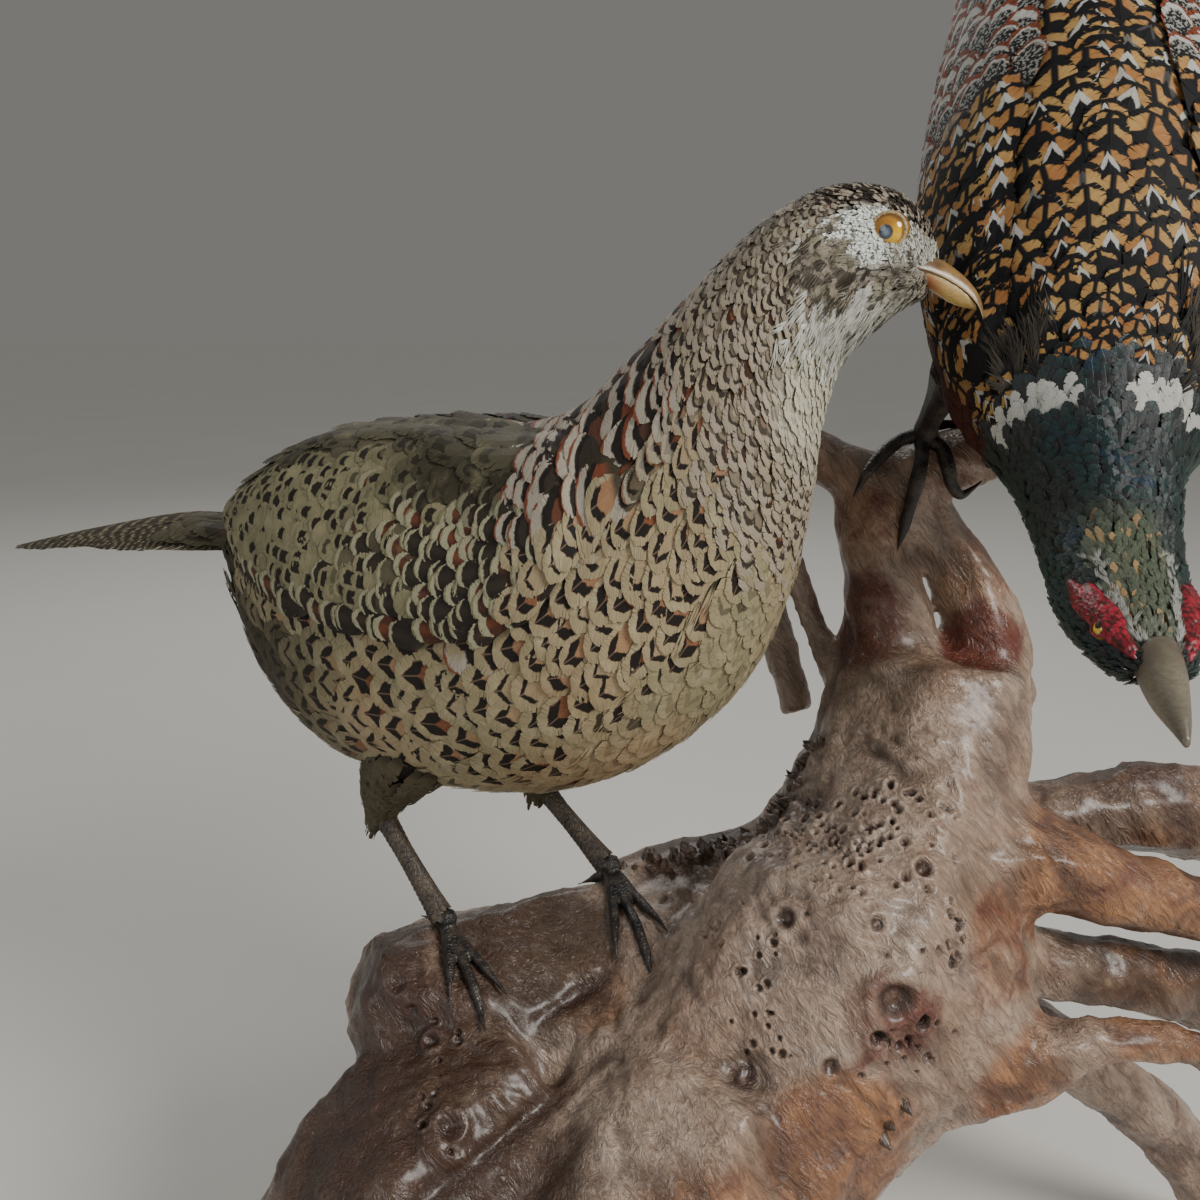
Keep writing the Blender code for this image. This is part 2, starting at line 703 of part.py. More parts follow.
def make_cock(wood, whole):
    """The second bird on the mount, as one solid."""
    cock = Bird(COCK_AT, COCK_YAW, COCK_STATIONS, COCK_HEAD_YAW, COCK_NECK_BEND_AT)
    last = len(COCK_STATIONS) - 1
    body = cock.loft("cock_pheasant", 0, last, 16, 12, "cock_plumage")
    bill = cock.loft("cock_bill", 0, len(COCK_BILL) - 1, 6, 7, "bill_horn", COCK_BILL)
    path = [(-11.5, 18.6), (-20.0, 28.5), (-30.0, 37.5), (-42.0, 44.5)]
    tips = (0.35, 0.48, 0.60, 0.72, 0.84)
    tail = cock.tail("cock_tail", path, COCK_TAIL_HALF_WIDTH, 1.1, tips, "cock_plumage", 10)
    wings = [
        cock.wing(f"cock_wing_{side}", COCK_WING, sign, "cock_plumage", 0.6, 4, 7)
        for side, sign in (("l", 1), ("r", -1))
    ]
    wattles = []
    for side in (1, -1):
        at = cock.point(13.1, side * 1.4, -8.5)
        wattles.append(ball(f"cock_wattle_{side}", at, (0.65, 1.1, 1.0), "cock_plumage", 6))
    grown = [bill, tail, *wings, *wattles]
    for side, (hip, below) in COCK_LEGS.items():
        top, ankle = (cock.point(s, w, u) for s, u, w in (hip, below))
        near, normal, _, _ = whole.find_nearest(ankle * CM)
        ankle = (near + normal * 0.5 * CM) / CM
        rows = [(*top, 1.9), (*top.lerp(ankle, 0.55), 1.1), (*ankle, 0.42)]
        grown.append(limb(f"cock_leg_{side}", rows, 6, "cock_plumage", 1))
        grown.append(foot(f"cock_foot_{side}", whole, ankle, COCK_TOES, "foot_dark", 5, 4))
    unite(body, *grown)
    carve(body, *wood)


def stand_on_origin():
    """One empty carries every part, so that the mount's bottom centre is the origin."""
    bpy.context.view_layer.update()
    parts = [obj for obj in bpy.data.objects if obj.type == "MESH"]
    corners = [v.co for obj in parts for v in obj.data.vertices]
    low = [min(c[i] for c in corners) for i in range(3)]
    high = [max(c[i] for c in corners) for i in range(3)]
    pair = bpy.data.objects.new("mounted_pair", None)
    bpy.context.scene.collection.objects.link(pair)
    pair.location = (-(low[0] + high[0]) / 2, -(low[1] + high[1]) / 2, -low[2])
    for obj in parts:
        obj.parent = pair


def main():
    clear_scene()
    wood, whole = make_wood()
    make_hen(wood, whole)
    make_cock(wood, whole)
    part_wood(wood)
    stand_on_origin()


main()
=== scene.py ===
import json
import math

import bpy
import numpy as np
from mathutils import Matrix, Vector, noise
from mathutils.kdtree import KDTree

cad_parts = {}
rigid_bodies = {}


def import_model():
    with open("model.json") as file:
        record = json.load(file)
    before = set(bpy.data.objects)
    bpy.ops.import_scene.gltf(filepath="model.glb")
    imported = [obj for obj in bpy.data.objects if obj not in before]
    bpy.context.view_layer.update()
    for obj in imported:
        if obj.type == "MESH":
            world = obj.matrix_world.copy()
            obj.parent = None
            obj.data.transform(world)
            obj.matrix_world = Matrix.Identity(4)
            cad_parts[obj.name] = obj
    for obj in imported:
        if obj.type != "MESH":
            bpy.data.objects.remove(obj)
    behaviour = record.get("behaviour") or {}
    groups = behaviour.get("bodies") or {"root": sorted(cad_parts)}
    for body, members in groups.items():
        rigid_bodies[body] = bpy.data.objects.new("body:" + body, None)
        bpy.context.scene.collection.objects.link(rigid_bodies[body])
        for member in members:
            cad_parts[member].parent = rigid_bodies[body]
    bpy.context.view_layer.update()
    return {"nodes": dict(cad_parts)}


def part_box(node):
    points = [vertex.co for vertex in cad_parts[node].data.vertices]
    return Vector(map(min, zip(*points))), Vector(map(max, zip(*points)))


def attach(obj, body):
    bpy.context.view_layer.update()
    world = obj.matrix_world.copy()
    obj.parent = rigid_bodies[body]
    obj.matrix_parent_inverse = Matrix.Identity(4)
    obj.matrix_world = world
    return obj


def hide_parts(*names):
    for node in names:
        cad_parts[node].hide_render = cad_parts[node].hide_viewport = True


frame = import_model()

bl_info = {
    "name": "Mounted pheasant pair",
    "version": (1, 0, 0),
    "blender": (4, 5, 0),
    "location": "View3D > Sidebar > Pheasants",
    "description": "Plumage, horn, glass eyes and varnished root of a museum mount, over its fixed frame",
    "category": "Object",
}

MOUNT = sorted(name for name in frame["nodes"] if name.startswith("mount_"))
CM = 0.01

# ---- the birds' bodies, in cm
# A bird's own frame has s ahead, u up and w to its left. Each station of a body is a slanting
# ring: (s, u) of its top, (s, u) of its bottom, half width. They are the frame's own stations.

HEN_AT, HEN_YAW, HEN_HEAD_YAW, HEN_BEND_AT = (-2.7, 47.3, 32.8), 30.0, -10.0, 10.0
COCK_AT, COCK_YAW, COCK_HEAD_YAW, COCK_BEND_AT = (17.7, 47.0, 43.5), 101.5, -4.0, 11.0
EGG = 0.12
HEN_STATIONS = [
    (-14.6, 2.1, -14.3, 0.7, 1.3),
    (-13.4, 3.5, -13.7, -1.3, 2.4),
    (-11.6, 4.8, -12.4, -3.9, 3.5),
    (-9.4, 5.9, -10.4, -6.0, 4.6),
    (-6.3, 6.7, -7.3, -7.5, 5.6),
    (-2.6, 7.0, -3.0, -7.8, 6.2),
    (0.8, 7.0, 1.9, -7.1, 6.3),
    (2.9, 7.8, 5.6, -5.4, 6.0),
    (4.6, 9.2, 8.5, -2.6, 5.3),
    (6.2, 10.8, 10.3, 0.8, 4.4),
    (7.8, 12.4, 11.1, 4.2, 3.5),
    (9.3, 13.7, 11.4, 7.0, 2.7),
    (11.0, 14.65, 12.0, 9.1, 2.1),
    (12.2, 14.85, 12.8, 10.1, 1.75),
    (13.2, 14.7, 13.45, 10.6, 1.6),
    (14.0, 14.3, 14.05, 11.0, 1.3),
    (14.6, 13.6, 14.5, 11.25, 0.95),
    (14.92, 12.8, 14.75, 11.5, 0.62),
]
COCK_STATIONS = [
    (-12.6, 21.0, -13.8, 18.6, 1.6),
    (-10.5, 19.6, -13.0, 14.2, 2.8),
    (-7.6, 17.2, -12.0, 9.0, 4.0),
    (-4.6, 14.3, -9.8, 3.8, 4.9),
    (-1.6, 11.2, -6.6, -0.6, 5.5),
    (1.4, 7.9, -2.6, -4.0, 5.6),
    (4.1, 3.8, 1.2, -5.8, 5.1),
    (5.4, 0.4, 3.4, -6.4, 3.9),
    (6.6, -2.6, 4.0, -7.0, 2.9),
    (8.6, -4.6, 5.4, -7.6, 2.4),
    (10.4, -6.0, 7.6, -8.5, 2.1),
    (12.4, -7.0, 9.8, -9.3, 1.95),
    (13.9, -7.8, 11.8, -9.7, 1.75),
    (15.0, -8.5, 13.4, -9.9, 1.3),
    (15.6, -9.0, 14.6, -9.9, 0.85),
]
# Folded wings: station on the body, middle angle from the back and half angle, in degrees.
HEN_WING = [
    (0.55, 52.0, 8.0),
    (1.6, 52.0, 21.0),
    (3.0, 52.0, 30.0),
    (4.4, 53.0, 33.0),
    (5.8, 56.0, 32.0),
    (7.0, 61.0, 26.0),
    (7.7, 65.0, 16.0),
]
COCK_WING = [
    (0.8, 50.0, 10.0),
    (2.0, 56.0, 26.0),
    (3.6, 60.0, 32.0),
    (5.0, 64.0, 30.0),
    (6.0, 68.0, 20.0),
]
HEN_WING_THICK, COCK_WING_THICK, WING_RIM = 0.75, 0.60, 0.35
HEN_TAIL_PATH = [(-13.0, 1.9), (-18.0, 1.9), (-24.0, 0.8), (-29.0, -0.3), (-32.3, -1.1)]
COCK_TAIL_PATH = [(-11.5, 18.6), (-20.0, 28.5), (-30.0, 37.5), (-42.0, 44.5)]
HEN_EYE = (13.55, -0.97, 13.31)  # s, w and u of the right one
EYE_RADIUS = 0.62


def centre_of(node):
    """The middle of a frame node's box, in metres."""
    low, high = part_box(node)
    return (np.array(low) + np.array(high)) / 2


def smooth_rows(rows, t):
    """Catmull-Rom reading of a table of rows at an array of places, straight on past both ends."""
    rows = np.asarray(rows, float)
    t = np.asarray(t, float)
    last = len(rows) - 1
    inside = np.clip(t, 0.0, last)
    i = np.minimum(inside.astype(int), last - 1)
    f = (inside - i)[..., None]
    a, b, c, d = (rows[np.clip(i + k, 0, last)] for k in (-1, 0, 1, 2))
    read = b + 0.5 * f * (c - a + f * (2 * a - 5 * b + 4 * c - d + f * (3 * (b - c) + d - a)))
    slope = np.where(t[..., None] < 0, rows[1] - rows[0], rows[-1] - rows[-2])
    return read + slope * (t - inside)[..., None]


def rows_along(rows, share):
    """The same reading at shares, 0 to 1, of the way along the table."""
    return smooth_rows(rows, np.asarray(share) * (len(rows) - 1))


def ease(low, high, x):
    """Runs smoothly from 0 at low to 1 at high."""
    f = np.clip((x - low) / (high - low), 0.0, 1.0)
    return f * f * (3 - 2 * f)


def unit(vector):
    return vector / np.linalg.norm(vector)


# ---- surfaces that feathers grow on


class Form:
    """A surface with p running from tail to head and q across. It gives places, slopes and normals.

    Each kind has its own place(p, q), and core(p, q), a point inside that its normals face away from.
    """

    step = 0.02
    side = 1

    def frame(self, p, q):
        """The place, its slopes along and across, and its outward normal."""
        e = self.step
        here = self.place(p, q)
        along = (self.place(p + e, q) - self.place(p - e, q)) / (2 * e)
        across = (self.place(p, q + e) - self.place(p, q - e)) / (2 * e)
        out = np.cross(along, across)
        out /= np.linalg.norm(out, axis=-1, keepdims=True) + 1e-12
        facing = np.sign(np.sum(out * (here - self.core(p, q)), axis=-1, keepdims=True))
        return here, along, across, out * facing

    def reach(self, p, q):
        """How many cm a step of 1 covers, along and across."""
        _, along, across, _ = self.frame(p, q)
        return np.linalg.norm(along, axis=-1) / CM, np.linalg.norm(across, axis=-1) / CM


class BodyForm(Form):
    """A bird's body: p is a station and q the angle from the back, positive to the bird's left."""

    neck_turn = 1.5  # cm each side of bend_at over which the head turns
    shift = 0.0

    def __init__(self, at, yaw, stations, head_yaw, bend_at):
        self.at, self.stations = np.array(at), stations
        turn = math.radians(yaw)
        self.ahead = np.array([math.cos(turn), -math.sin(turn), 0.0])
        self.left = np.array([math.sin(turn), math.cos(turn), 0.0])
        self.head_yaw, self.bend_at = math.radians(-head_yaw), bend_at

    def point(self, s, w, u):
        """A place in the bird's own centimetres, turned into the frame's metres."""
        s, w, u = np.broadcast_arrays(np.asarray(s, float), np.asarray(w, float), np.asarray(u, float))
        a = self.head_yaw * ease(self.bend_at - self.neck_turn, self.bend_at + self.neck_turn, s)
        run = s - self.bend_at
        turned = self.bend_at + run * np.cos(a) - w * np.sin(a)
        aside = run * np.sin(a) + w * np.cos(a)
        up = np.stack([np.zeros_like(u), np.zeros_like(u), u], axis=-1)
        here = self.at + turned[..., None] * self.ahead + aside[..., None] * self.left + up
        return here * CM + self.shift

    def own_place(self, p, q):
        """A place of the surface as s, w and u, in the bird's own centimetres."""
        top_s, top_u, low_s, low_u, half = np.moveaxis(smooth_rows(self.stations, p), -1, 0)
        c, e = np.cos(q), np.sin(q)
        s = (top_s + low_s) / 2 + c * (top_s - low_s) / 2
        u = (top_u + low_u) / 2 + c * (top_u - low_u) / 2
        return s, np.maximum(half, 0.25) * e * (1 - EGG * c), u

    def place(self, p, q):
        return self.point(*self.own_place(p, q))

    def core(self, p, q):
        top_s, top_u, low_s, low_u, _ = np.moveaxis(smooth_rows(self.stations, p), -1, 0)
        return self.point((top_s + low_s) / 2, 0.0 * q, (top_u + low_u) / 2)

    def spacing(self, lines):
        """A function of the station: centimetres round the body between two of its lines of feathers."""
        stations = np.arange(-2.0, len(self.stations) + 0.1, 0.5)
        turn = np.linspace(0, math.tau, 48)
        rings = [self.place(np.full(48, float(p)), turn) for p in stations]
        girths = [np.linalg.norm(np.diff(ring, axis=0), axis=1).sum() / CM for ring in rings]
        return lambda p: np.interp(p, stations, girths) / lines


class WingForm(Form):
    """A folded wing on a body: p is a row of its table from the tip, q from its upper to lower rim."""

    def __init__(self, body, rows, side, thick):
        self.body, self.rows, self.side, self.thick = body, rows, side, thick

    def spot(self, p, q):
        """The station and the angle on the body beneath."""
        station, middle, half = np.moveaxis(smooth_rows(self.rows, p), -1, 0)
        return station, self.side * np.radians(middle + half * q)

    def place(self, p, q):
        turn = math.pi * (np.clip(p, 0, len(self.rows) - 1) + 0.35) / (len(self.rows) - 0.3)
        end = np.minimum(1.0, 2.2 * np.sin(turn))
        hump = np.sqrt(np.clip(1 - q * q, 0.0, 1.0) + 0.03)
        here, _, _, out = self.body.frame(*self.spot(p, q))
        lift = self.thick * end * (WING_RIM + (1 - WING_RIM) * hump)
        return here + out * lift[..., None] * CM

    def core(self, p, q):
        return self.body.core(*self.spot(p, q))


class TubeForm(Form):
    """A leg: p runs from its lower end, 0, to its top, 1, and q is the angle round it."""

    def __init__(self, points, radii):
        self.rows = [(*p, r * CM) for p, r in zip(points, radii)]

    def core(self, p, q):
        return rows_along(self.rows, p)[..., :3]

    def place(self, p, q):
        rows = rows_along(self.rows, p)
        ahead = unit(np.array(self.rows[-1][:3]) - np.array(self.rows[0][:3]))
        side = unit(np.cross(ahead, [0.0, 1.0, 0.1]))
        up = np.cross(side, ahead)
        ring = np.cos(q)[..., None] * side + np.sin(q)[..., None] * up
        return rows[..., :3] + ring * np.maximum(rows[..., 3:], 0.2 * CM)


class TailForm(Form):
    """A roof of tail feathers: p runs from the tips, 0, to the base, 1, and q is cm from the middle."""

    def __init__(self, body, path, pitch):
        self.body, self.path, self.pitch = body, path[::-1], pitch

    def place(self, p, q):
        s, u = np.moveaxis(rows_along(self.path, p), -1, 0)
        return self.body.point(s, q, u - self.pitch * np.abs(q) ** 1.4)

    def core(self, p, q):
        s, u = np.moveaxis(rows_along(self.path, p), -1, 0)
        return self.body.point(s, 0.0 * q, u - 4.0)


HEN = BodyForm(HEN_AT, HEN_YAW, HEN_STATIONS, HEN_HEAD_YAW, HEN_BEND_AT)
COCK = BodyForm(COCK_AT, COCK_YAW, COCK_STATIONS, COCK_HEAD_YAW, COCK_BEND_AT)
SHIFT = centre_of("eye_r") - HEN.point(*HEN_EYE)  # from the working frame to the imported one
HEN.shift = COCK.shift = SHIFT
HEN_TAIL = TailForm(HEN, HEN_TAIL_PATH, 0.30)
COCK_TAIL = TailForm(COCK, COCK_TAIL_PATH, 0.25)


def wood_place(x, y, z):
    """A place on the mount, given in its own cm."""
    return np.array([x, y, z]) * CM + SHIFT


def search_tree(spots):
    """A tree that finds the nearest of some places."""
    tree = KDTree(len(spots))
    for i, spot in enumerate(spots):
        tree.insert(spot, i)
    tree.balance()
    return tree


# ---- meshes made from arrays


def flat(values, kind=np.float32):
    return np.ascontiguousarray(values, kind).ravel()


def mesh_of_quads(name, verts, quads, uvs=None, vectors=None):
    """An object from arrays: points, four-sided faces, UV maps and vector attributes by point."""
    mesh = bpy.data.meshes.new(name)
    mesh.vertices.add(len(verts))
    mesh.vertices.foreach_set("co", flat(verts))
    mesh.loops.add(quads.size)
    mesh.loops.foreach_set("vertex_index", flat(quads, np.int32))
    mesh.polygons.add(len(quads))
    mesh.polygons.foreach_set("loop_start", np.arange(0, quads.size, 4, dtype=np.int32))
    mesh.polygons.foreach_set("use_smooth", np.ones(len(quads), bool))
    mesh.update(calc_edges=True)
    obj = bpy.data.objects.new(name, mesh)
    bpy.context.scene.collection.objects.link(obj)
    for layer, values in (uvs or {}).items():
        made = mesh.uv_layers.new(name=layer)
        made.data.foreach_set("uv", flat(values[quads.ravel()]))
    for layer, values in (vectors or {}).items():
        set_marks(obj, values, layer)
    return obj


def set_marks(obj, values, name="Marks"):
    layer = obj.data.attributes.new(name, "FLOAT_VECTOR", "POINT")
    layer.data.foreach_set("vector", flat(values))


def band_quads(rings, sides):
    """Faces between rings of points, each ring closed on itself."""
    k = np.arange(sides)
    quads = []
    for i in range(rings - 1):
        a, b = i * sides + k, i * sides + (k + 1) % sides
        quads.append(np.column_stack([a, b, b + sides, a + sides]))
    return np.concatenate(quads)


def loft(name, rings):
    """A closed skin over rings of points, with an even count in each ring and both ends capped."""
    count, sides = rings.shape[:2]
    j = np.arange(sides // 2 - 1)
    cap = np.column_stack([j, sides - 1 - j, sides - 2 - j, j + 1])
    quads = np.concatenate([band_quads(count, sides), cap, cap[:, ::-1] + (count - 1) * sides])
    return mesh_of_quads(name, rings.reshape(-1, 3), quads)


def tube(name, path, radii):
    """A closed ten-sided tube along a path of points, as thick at each as its radius."""
    t = np.linspace(0, len(path) - 1, 8 * len(path))
    rows = smooth_rows(np.column_stack([path, radii]), t)
    middle, radius = rows[:, :3], rows[:, 3]
    along = np.gradient(middle, axis=0)
    along /= np.linalg.norm(along, axis=1)[:, None]
    aside = np.cross(along, [0.0, 1.0, 0.2])
    aside /= np.linalg.norm(aside, axis=1)[:, None]
    up = np.cross(aside, along)
    turn = np.linspace(0, math.tau, 10, endpoint=False)
    ring = aside[:, None] * np.cos(turn)[None, :, None] + up[:, None] * np.sin(turn)[None, :, None]
    return loft(name, middle[:, None] + ring * radius[:, None, None])


def rows_of(parts, key):
    """A property with three values of a mesh's parts, as rows."""
    values = np.empty(len(parts) * 3, np.float32)
    parts.foreach_get(key, values)
    return values.reshape(-1, 3).astype(float)


def points_of(obj):
    return rows_of(obj.data.vertices, "co")


def normals_of(obj):
    return rows_of(obj.data.vertex_normals, "vector")


def set_points(obj, points):
    obj.data.vertices.foreach_set("co", flat(points))
    obj.data.update()


def set_mode(mode):
    bpy.ops.object.mode_set(mode=mode)


def only(*objects):
    """Selects just these objects and makes the first one active."""
    for obj in bpy.context.selected_objects:
        obj.select_set(False)
    for obj in objects:
        obj.select_set(True)
    bpy.context.view_layer.objects.active = objects[0]


def apply_modifier(obj, kind, **values):
    only(obj)
    modifier = obj.modifiers.new(kind.title(), kind)
    for key, value in values.items():
        setattr(modifier, key, value)
    bpy.ops.object.modifier_apply(modifier=modifier.name)


def merged_copy(name, *nodes):
    """One new object from copies of frame nodes, with their loose triangles merged."""
    copies = []
    for node in nodes:
        copy = bpy.data.objects.new(name, bpy.data.objects[node].data.copy())
        copy.data.materials.clear()
        bpy.context.scene.collection.objects.link(copy)
        copies.append(copy)
    only(*copies)
    if len(copies) > 1:
        bpy.ops.object.join()
    obj = bpy.context.view_layer.objects.active
    set_mode("EDIT")
    bpy.ops.mesh.select_all(action="SELECT")
    bpy.ops.mesh.remove_doubles(threshold=1e-5)
    set_mode("OBJECT")
    obj.name = obj.data.name = name
    return obj


def remeshed(obj, voxel, smooth):
    """One closed, even surface over all of an object's bodies."""
    apply_modifier(obj, "REMESH", mode="VOXEL", voxel_size=voxel, adaptivity=0.0)
    apply_modifier(obj, "SMOOTH", factor=0.5, iterations=smooth)
    obj.data.shade_smooth()
    return obj


def edit_selected(obj, kind, wanted):
    """Goes into edit mode with just the wanted vertices, VERT, or faces, FACE, of an object selected."""
    only(obj)
    set_mode("EDIT")
    bpy.ops.mesh.select_mode(type=kind)
    bpy.ops.mesh.select_all(action="DESELECT")
    set_mode("OBJECT")
    parts = obj.data.vertices if kind == "VERT" else obj.data.polygons
    parts.foreach_set("select", wanted)
    set_mode("EDIT")


def keep_vertices(obj, wanted, linked=False):
    """Deletes every vertex but the wanted ones, and all that are joined to them, and closes the holes."""
    edit_selected(obj, "VERT", wanted)
    if linked:
        bpy.ops.mesh.select_linked()
    bpy.ops.mesh.select_all(action="INVERT")
    bpy.ops.mesh.delete(type="VERT")
    bpy.ops.mesh.select_all(action="SELECT")
    bpy.ops.mesh.fill_holes(sides=0)
    bpy.ops.mesh.normals_make_consistent(inside=False)
    set_mode("OBJECT")


def finish_piece(obj, finish, *nodes):
    """Gives a piece its material, its body and the frame nodes that it stands for."""
    obj.data.materials.clear()
    obj.data.materials.append(MATERIALS[finish])
    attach(obj, "root")
    if nodes:
        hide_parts(*nodes)


# ---- feathers

SWEEP = 0.5  # how far a barb's tip lies past its root, as a share of the vane's length
SHEET_GAP = 0.012  # cm between barbs that overlap
BAKE_PATCH = 0.003  # width of a feather in its bake map
BAKE_EDGE = 0.02  # width left free round that map
BODY_BARBS = [0.0, 0.3, 0.48, 0.6, 0.68, 0.75, 0.81, 0.86, 0.905, 0.94, 0.97, 1.0]
LOOSE_BARBS = BODY_BARBS[::2]
SMALL_BARBS = [0.0, 0.6, 0.87, 1.0]
TINY_BARBS = [0.0, 0.6, 1.0]
LONG_BARBS = [i / 14 for i in range(15)]


def vane_template(roots, gap, ragged, seed):
    """One feather in its own plane: x from -1 to 1 over its width, y from 0 to 1 along its shaft.

    Each pair of roots on the shaft carries one lock of barbs on either side, which narrows to its tip.
    """
    rng = np.random.default_rng(seed)
    theta = np.linspace(0, math.pi, 160)
    rim_x = np.sin(theta) ** 0.8
    rim_y = (0.5 - 0.5 * np.cos(theta)) ** 0.75
    verts, quads = [], []
    for side in (-1.0, 1.0):
        for n, (y0, y1) in enumerate(zip(roots[:-1], roots[1:])):
            ends = []
            for y in (y0, y1):
                out_y = y + SWEEP * (1 - y) * (0.35 + 0.65 * y)
                ends.append((side * np.interp(out_y, rim_y, rim_x), out_y))
            short = 1 - ragged * rng.random()
            close = gap * rng.uniform(0.5, 1.0) if y0 > 0.35 else 0.0
            (ax, ay), (bx, by) = ends
            mx, my = (ax + bx) / 2, (ay + by) / 2
            tips = [(mx + (x - mx) * (1 - close), my + (y - my) * (1 - close)) for x, y in ends]
            tips = [(x * short, y0 + (y - y0) * (1 - (1 - short) * 0.6)) for x, y in tips]
            bases = [(0.0, y0), (0.0, y1)]
            half = [
                (0.5 * (e[0] * 0.7 + t[0] * 0.3), b[1] + 0.42 * (e[1] - b[1]))
                for b, e, t in zip(bases, ends, tips)
            ]
            z = SHEET_GAP * (n % 2) * rng.uniform(0.3, 1.0)
            first = len(verts)
            verts += [(x, y, 0.0) for x, y in bases] + [(x, y, z) for x, y in half + tips]
            for k in (0, 2):
                quad = (first + k, first + k + 2, first + k + 3, first + k + 1)
                quads.append(quad if side > 0 else quad[::-1])
    return np.array(verts), np.array(quads)


def wisp_template(spread, half, seed):
    """A tuft of six loose barbs that fan out from one root, each a narrow strip that ends in a point."""
    rng = np.random.default_rng(seed)
    verts, quads = [], []
    for n in range(6):
        turn = spread * (n / 5 - 0.5) * 2 + rng.normal(0, 0.08)
        length = rng.uniform(0.7, 1.0)
        bend = rng.normal(0, 0.3)
        first = len(verts)
        for y, wide in ((0.0, half * 0.7), (0.5, half), (1.0, half * 0.12)):
            x = turn * (0.35 + 0.65 * y) + bend * y * y * 0.5
            lift = SHEET_GAP * (n % 3)
            verts += [(x - wide, y * length, lift), (x + wide, y * length, lift)]
        for k in (0, 2):
            quads.append((first + k, first + k + 1, first + k + 3, first + k + 2))
    return np.array(verts), np.array(quads)


def vanes(count, roots, gap, ragged):
    """Several feathers of one kind, each a little different."""
    return [vane_template(roots, gap, ragged, seed) for seed in range(count)]


def wisps(count, spread=0.5, half=0.10):
    """Several loose tufts, each a little different."""
    return [wisp_template(spread, half, seed) for seed in range(count)]


def seeded(*words):
    """A random generator that gives the same numbers each run for the same piece."""
    return np.random.default_rng(sum(ord(c) * (i + 1) for i, c in enumerate("".join(words))))


def vary(rng, amount, p):
    """A random amount, of either sign, for each feather."""
    return rng.normal(0, amount, len(p))


def sway(rng, degrees, p):
    """A random lean for each feather."""
    return vary(rng, np.radians(degrees), p)


def seed_lines(form, lines, front, back, step, rng, jitter=0.12, span=None):
    """Roots along lines that run back from the head, every second line half a step behind.

    The lines lie all round the form, or between the two values of q that span holds.
    """
    k = np.arange(lines)
    low, high = span or (0.0, math.tau)
    q_line = low + (high - low) * (k + (0.5 if span else 0.0)) / lines
    p = np.full(lines, float(front))
    found_p, found_q = [], []
    while (p > back).any():
        stride, metric = step(p), form.reach(p, q_line)[0]
        if not found_p:
            p = p - (k % 2) * 0.5 * stride / metric
        keep = p > back
        shake = rng.normal(0, jitter, (2, lines))
        found_p.append((p + shake[0] * stride / metric)[keep])
        found_q.append((q_line + shake[1] * (high - low) / lines)[keep])
        p = p - stride / metric
    return np.concatenate(found_p), np.concatenate(found_q)


def grow(finish, name, form, p, q, width, length, templates, rng, depth, rise=0.0, lean=0.0,
         camber=0.06, zone=(0.0, 0.0), curl=0.0, nodes=()):
    """Makes a piece of feathers whose vanes follow a surface, from below it to its outline.

    Width, length, depth, rise and curl are cm. zone holds two shares, which the material reads
    as First and Second with a random third one.
    """
    count = len(p)
    width, length, depth, rise, lean, curl, first, second = (
        np.broadcast_to(np.asarray(value, float), (count,))
        for value in (width, length, depth, rise, lean, curl, *zone)
    )
    marks = np.column_stack([first, second, rng.random(count)])
    root_p, per_q = form.reach(p, q)
    per_p, _ = form.reach(p - 0.5 * length / root_p, q)
    choice = rng.integers(0, len(templates), count)
    made = []
    base = 0
    for n, (shape, quads) in enumerate(templates):
        mine = np.flatnonzero(choice == n)
        if not len(mine):
            continue
        x = shape[None, :, 0] * width[mine, None] / 2
        y = shape[None, :, 1] * length[mine, None]
        c, s = np.cos(lean[mine, None]), np.sin(lean[mine, None])
        back, aside = y * c - x * s, x * c + y * s
        spot_p = p[mine, None] - back / per_p[mine, None]
        spot_q = q[mine, None] + aside / per_q[mine, None]
        here, _, _, out = form.frame(spot_p, spot_q)
        f = shape[None, :, 1] ** 0.6
        lift = -depth[mine, None] * (1 - f) + rise[mine, None] * f + curl[mine, None] * f ** 6
        lift = lift - camber * width[mine, None] * shape[None, :, 0] ** 2 + shape[None, :, 2]
        here = here + out * lift[..., None] * CM
        total = len(mine) * len(shape)
        place = np.column_stack([
            BAKE_EDGE + (1 - 2 * BAKE_EDGE) * (v[mine] - v.min()) / max(np.ptp(v), 1e-6) for v in (q, p)
        ])
        patch = BAKE_PATCH * np.stack([shape[:, 0] / 2, shape[:, 1] - 0.5], axis=-1)
        faces = quads[None] + np.arange(len(mine))[:, None, None] * len(shape) + base
        if form.side < 0:
            faces = faces[..., ::-1]
        made.append((
            here.reshape(total, 3),
            faces.reshape(-1, 4),
            np.tile(np.stack([shape[:, 0] * 0.5 + 0.5, shape[:, 1]], axis=-1), (len(mine), 1)),
            (place[:, None] + patch[None]).reshape(total, 2),
            np.repeat(marks[mine], len(shape), axis=0),
        ))
        base += total
    verts, faces, vane, bake, marks = (np.concatenate(part) for part in zip(*made))
    feathers = mesh_of_quads(name, verts, faces, {"Vane": vane, "OFBake": bake}, {"Marks": marks})
    finish_piece(feathers, finish, *nodes)


# ---- materials

GROUPS = {}
MATERIALS = {}


def shade(red, green, blue):
    """A colour given as it looks on screen, 0 to 255, turned into the linear values that shaders use."""
    return tuple((c / 255.0 / 12.92) if c <= 10 else ((c / 255.0 + 0.055) / 1.055) ** 2.4
                 for c in (red, green, blue))


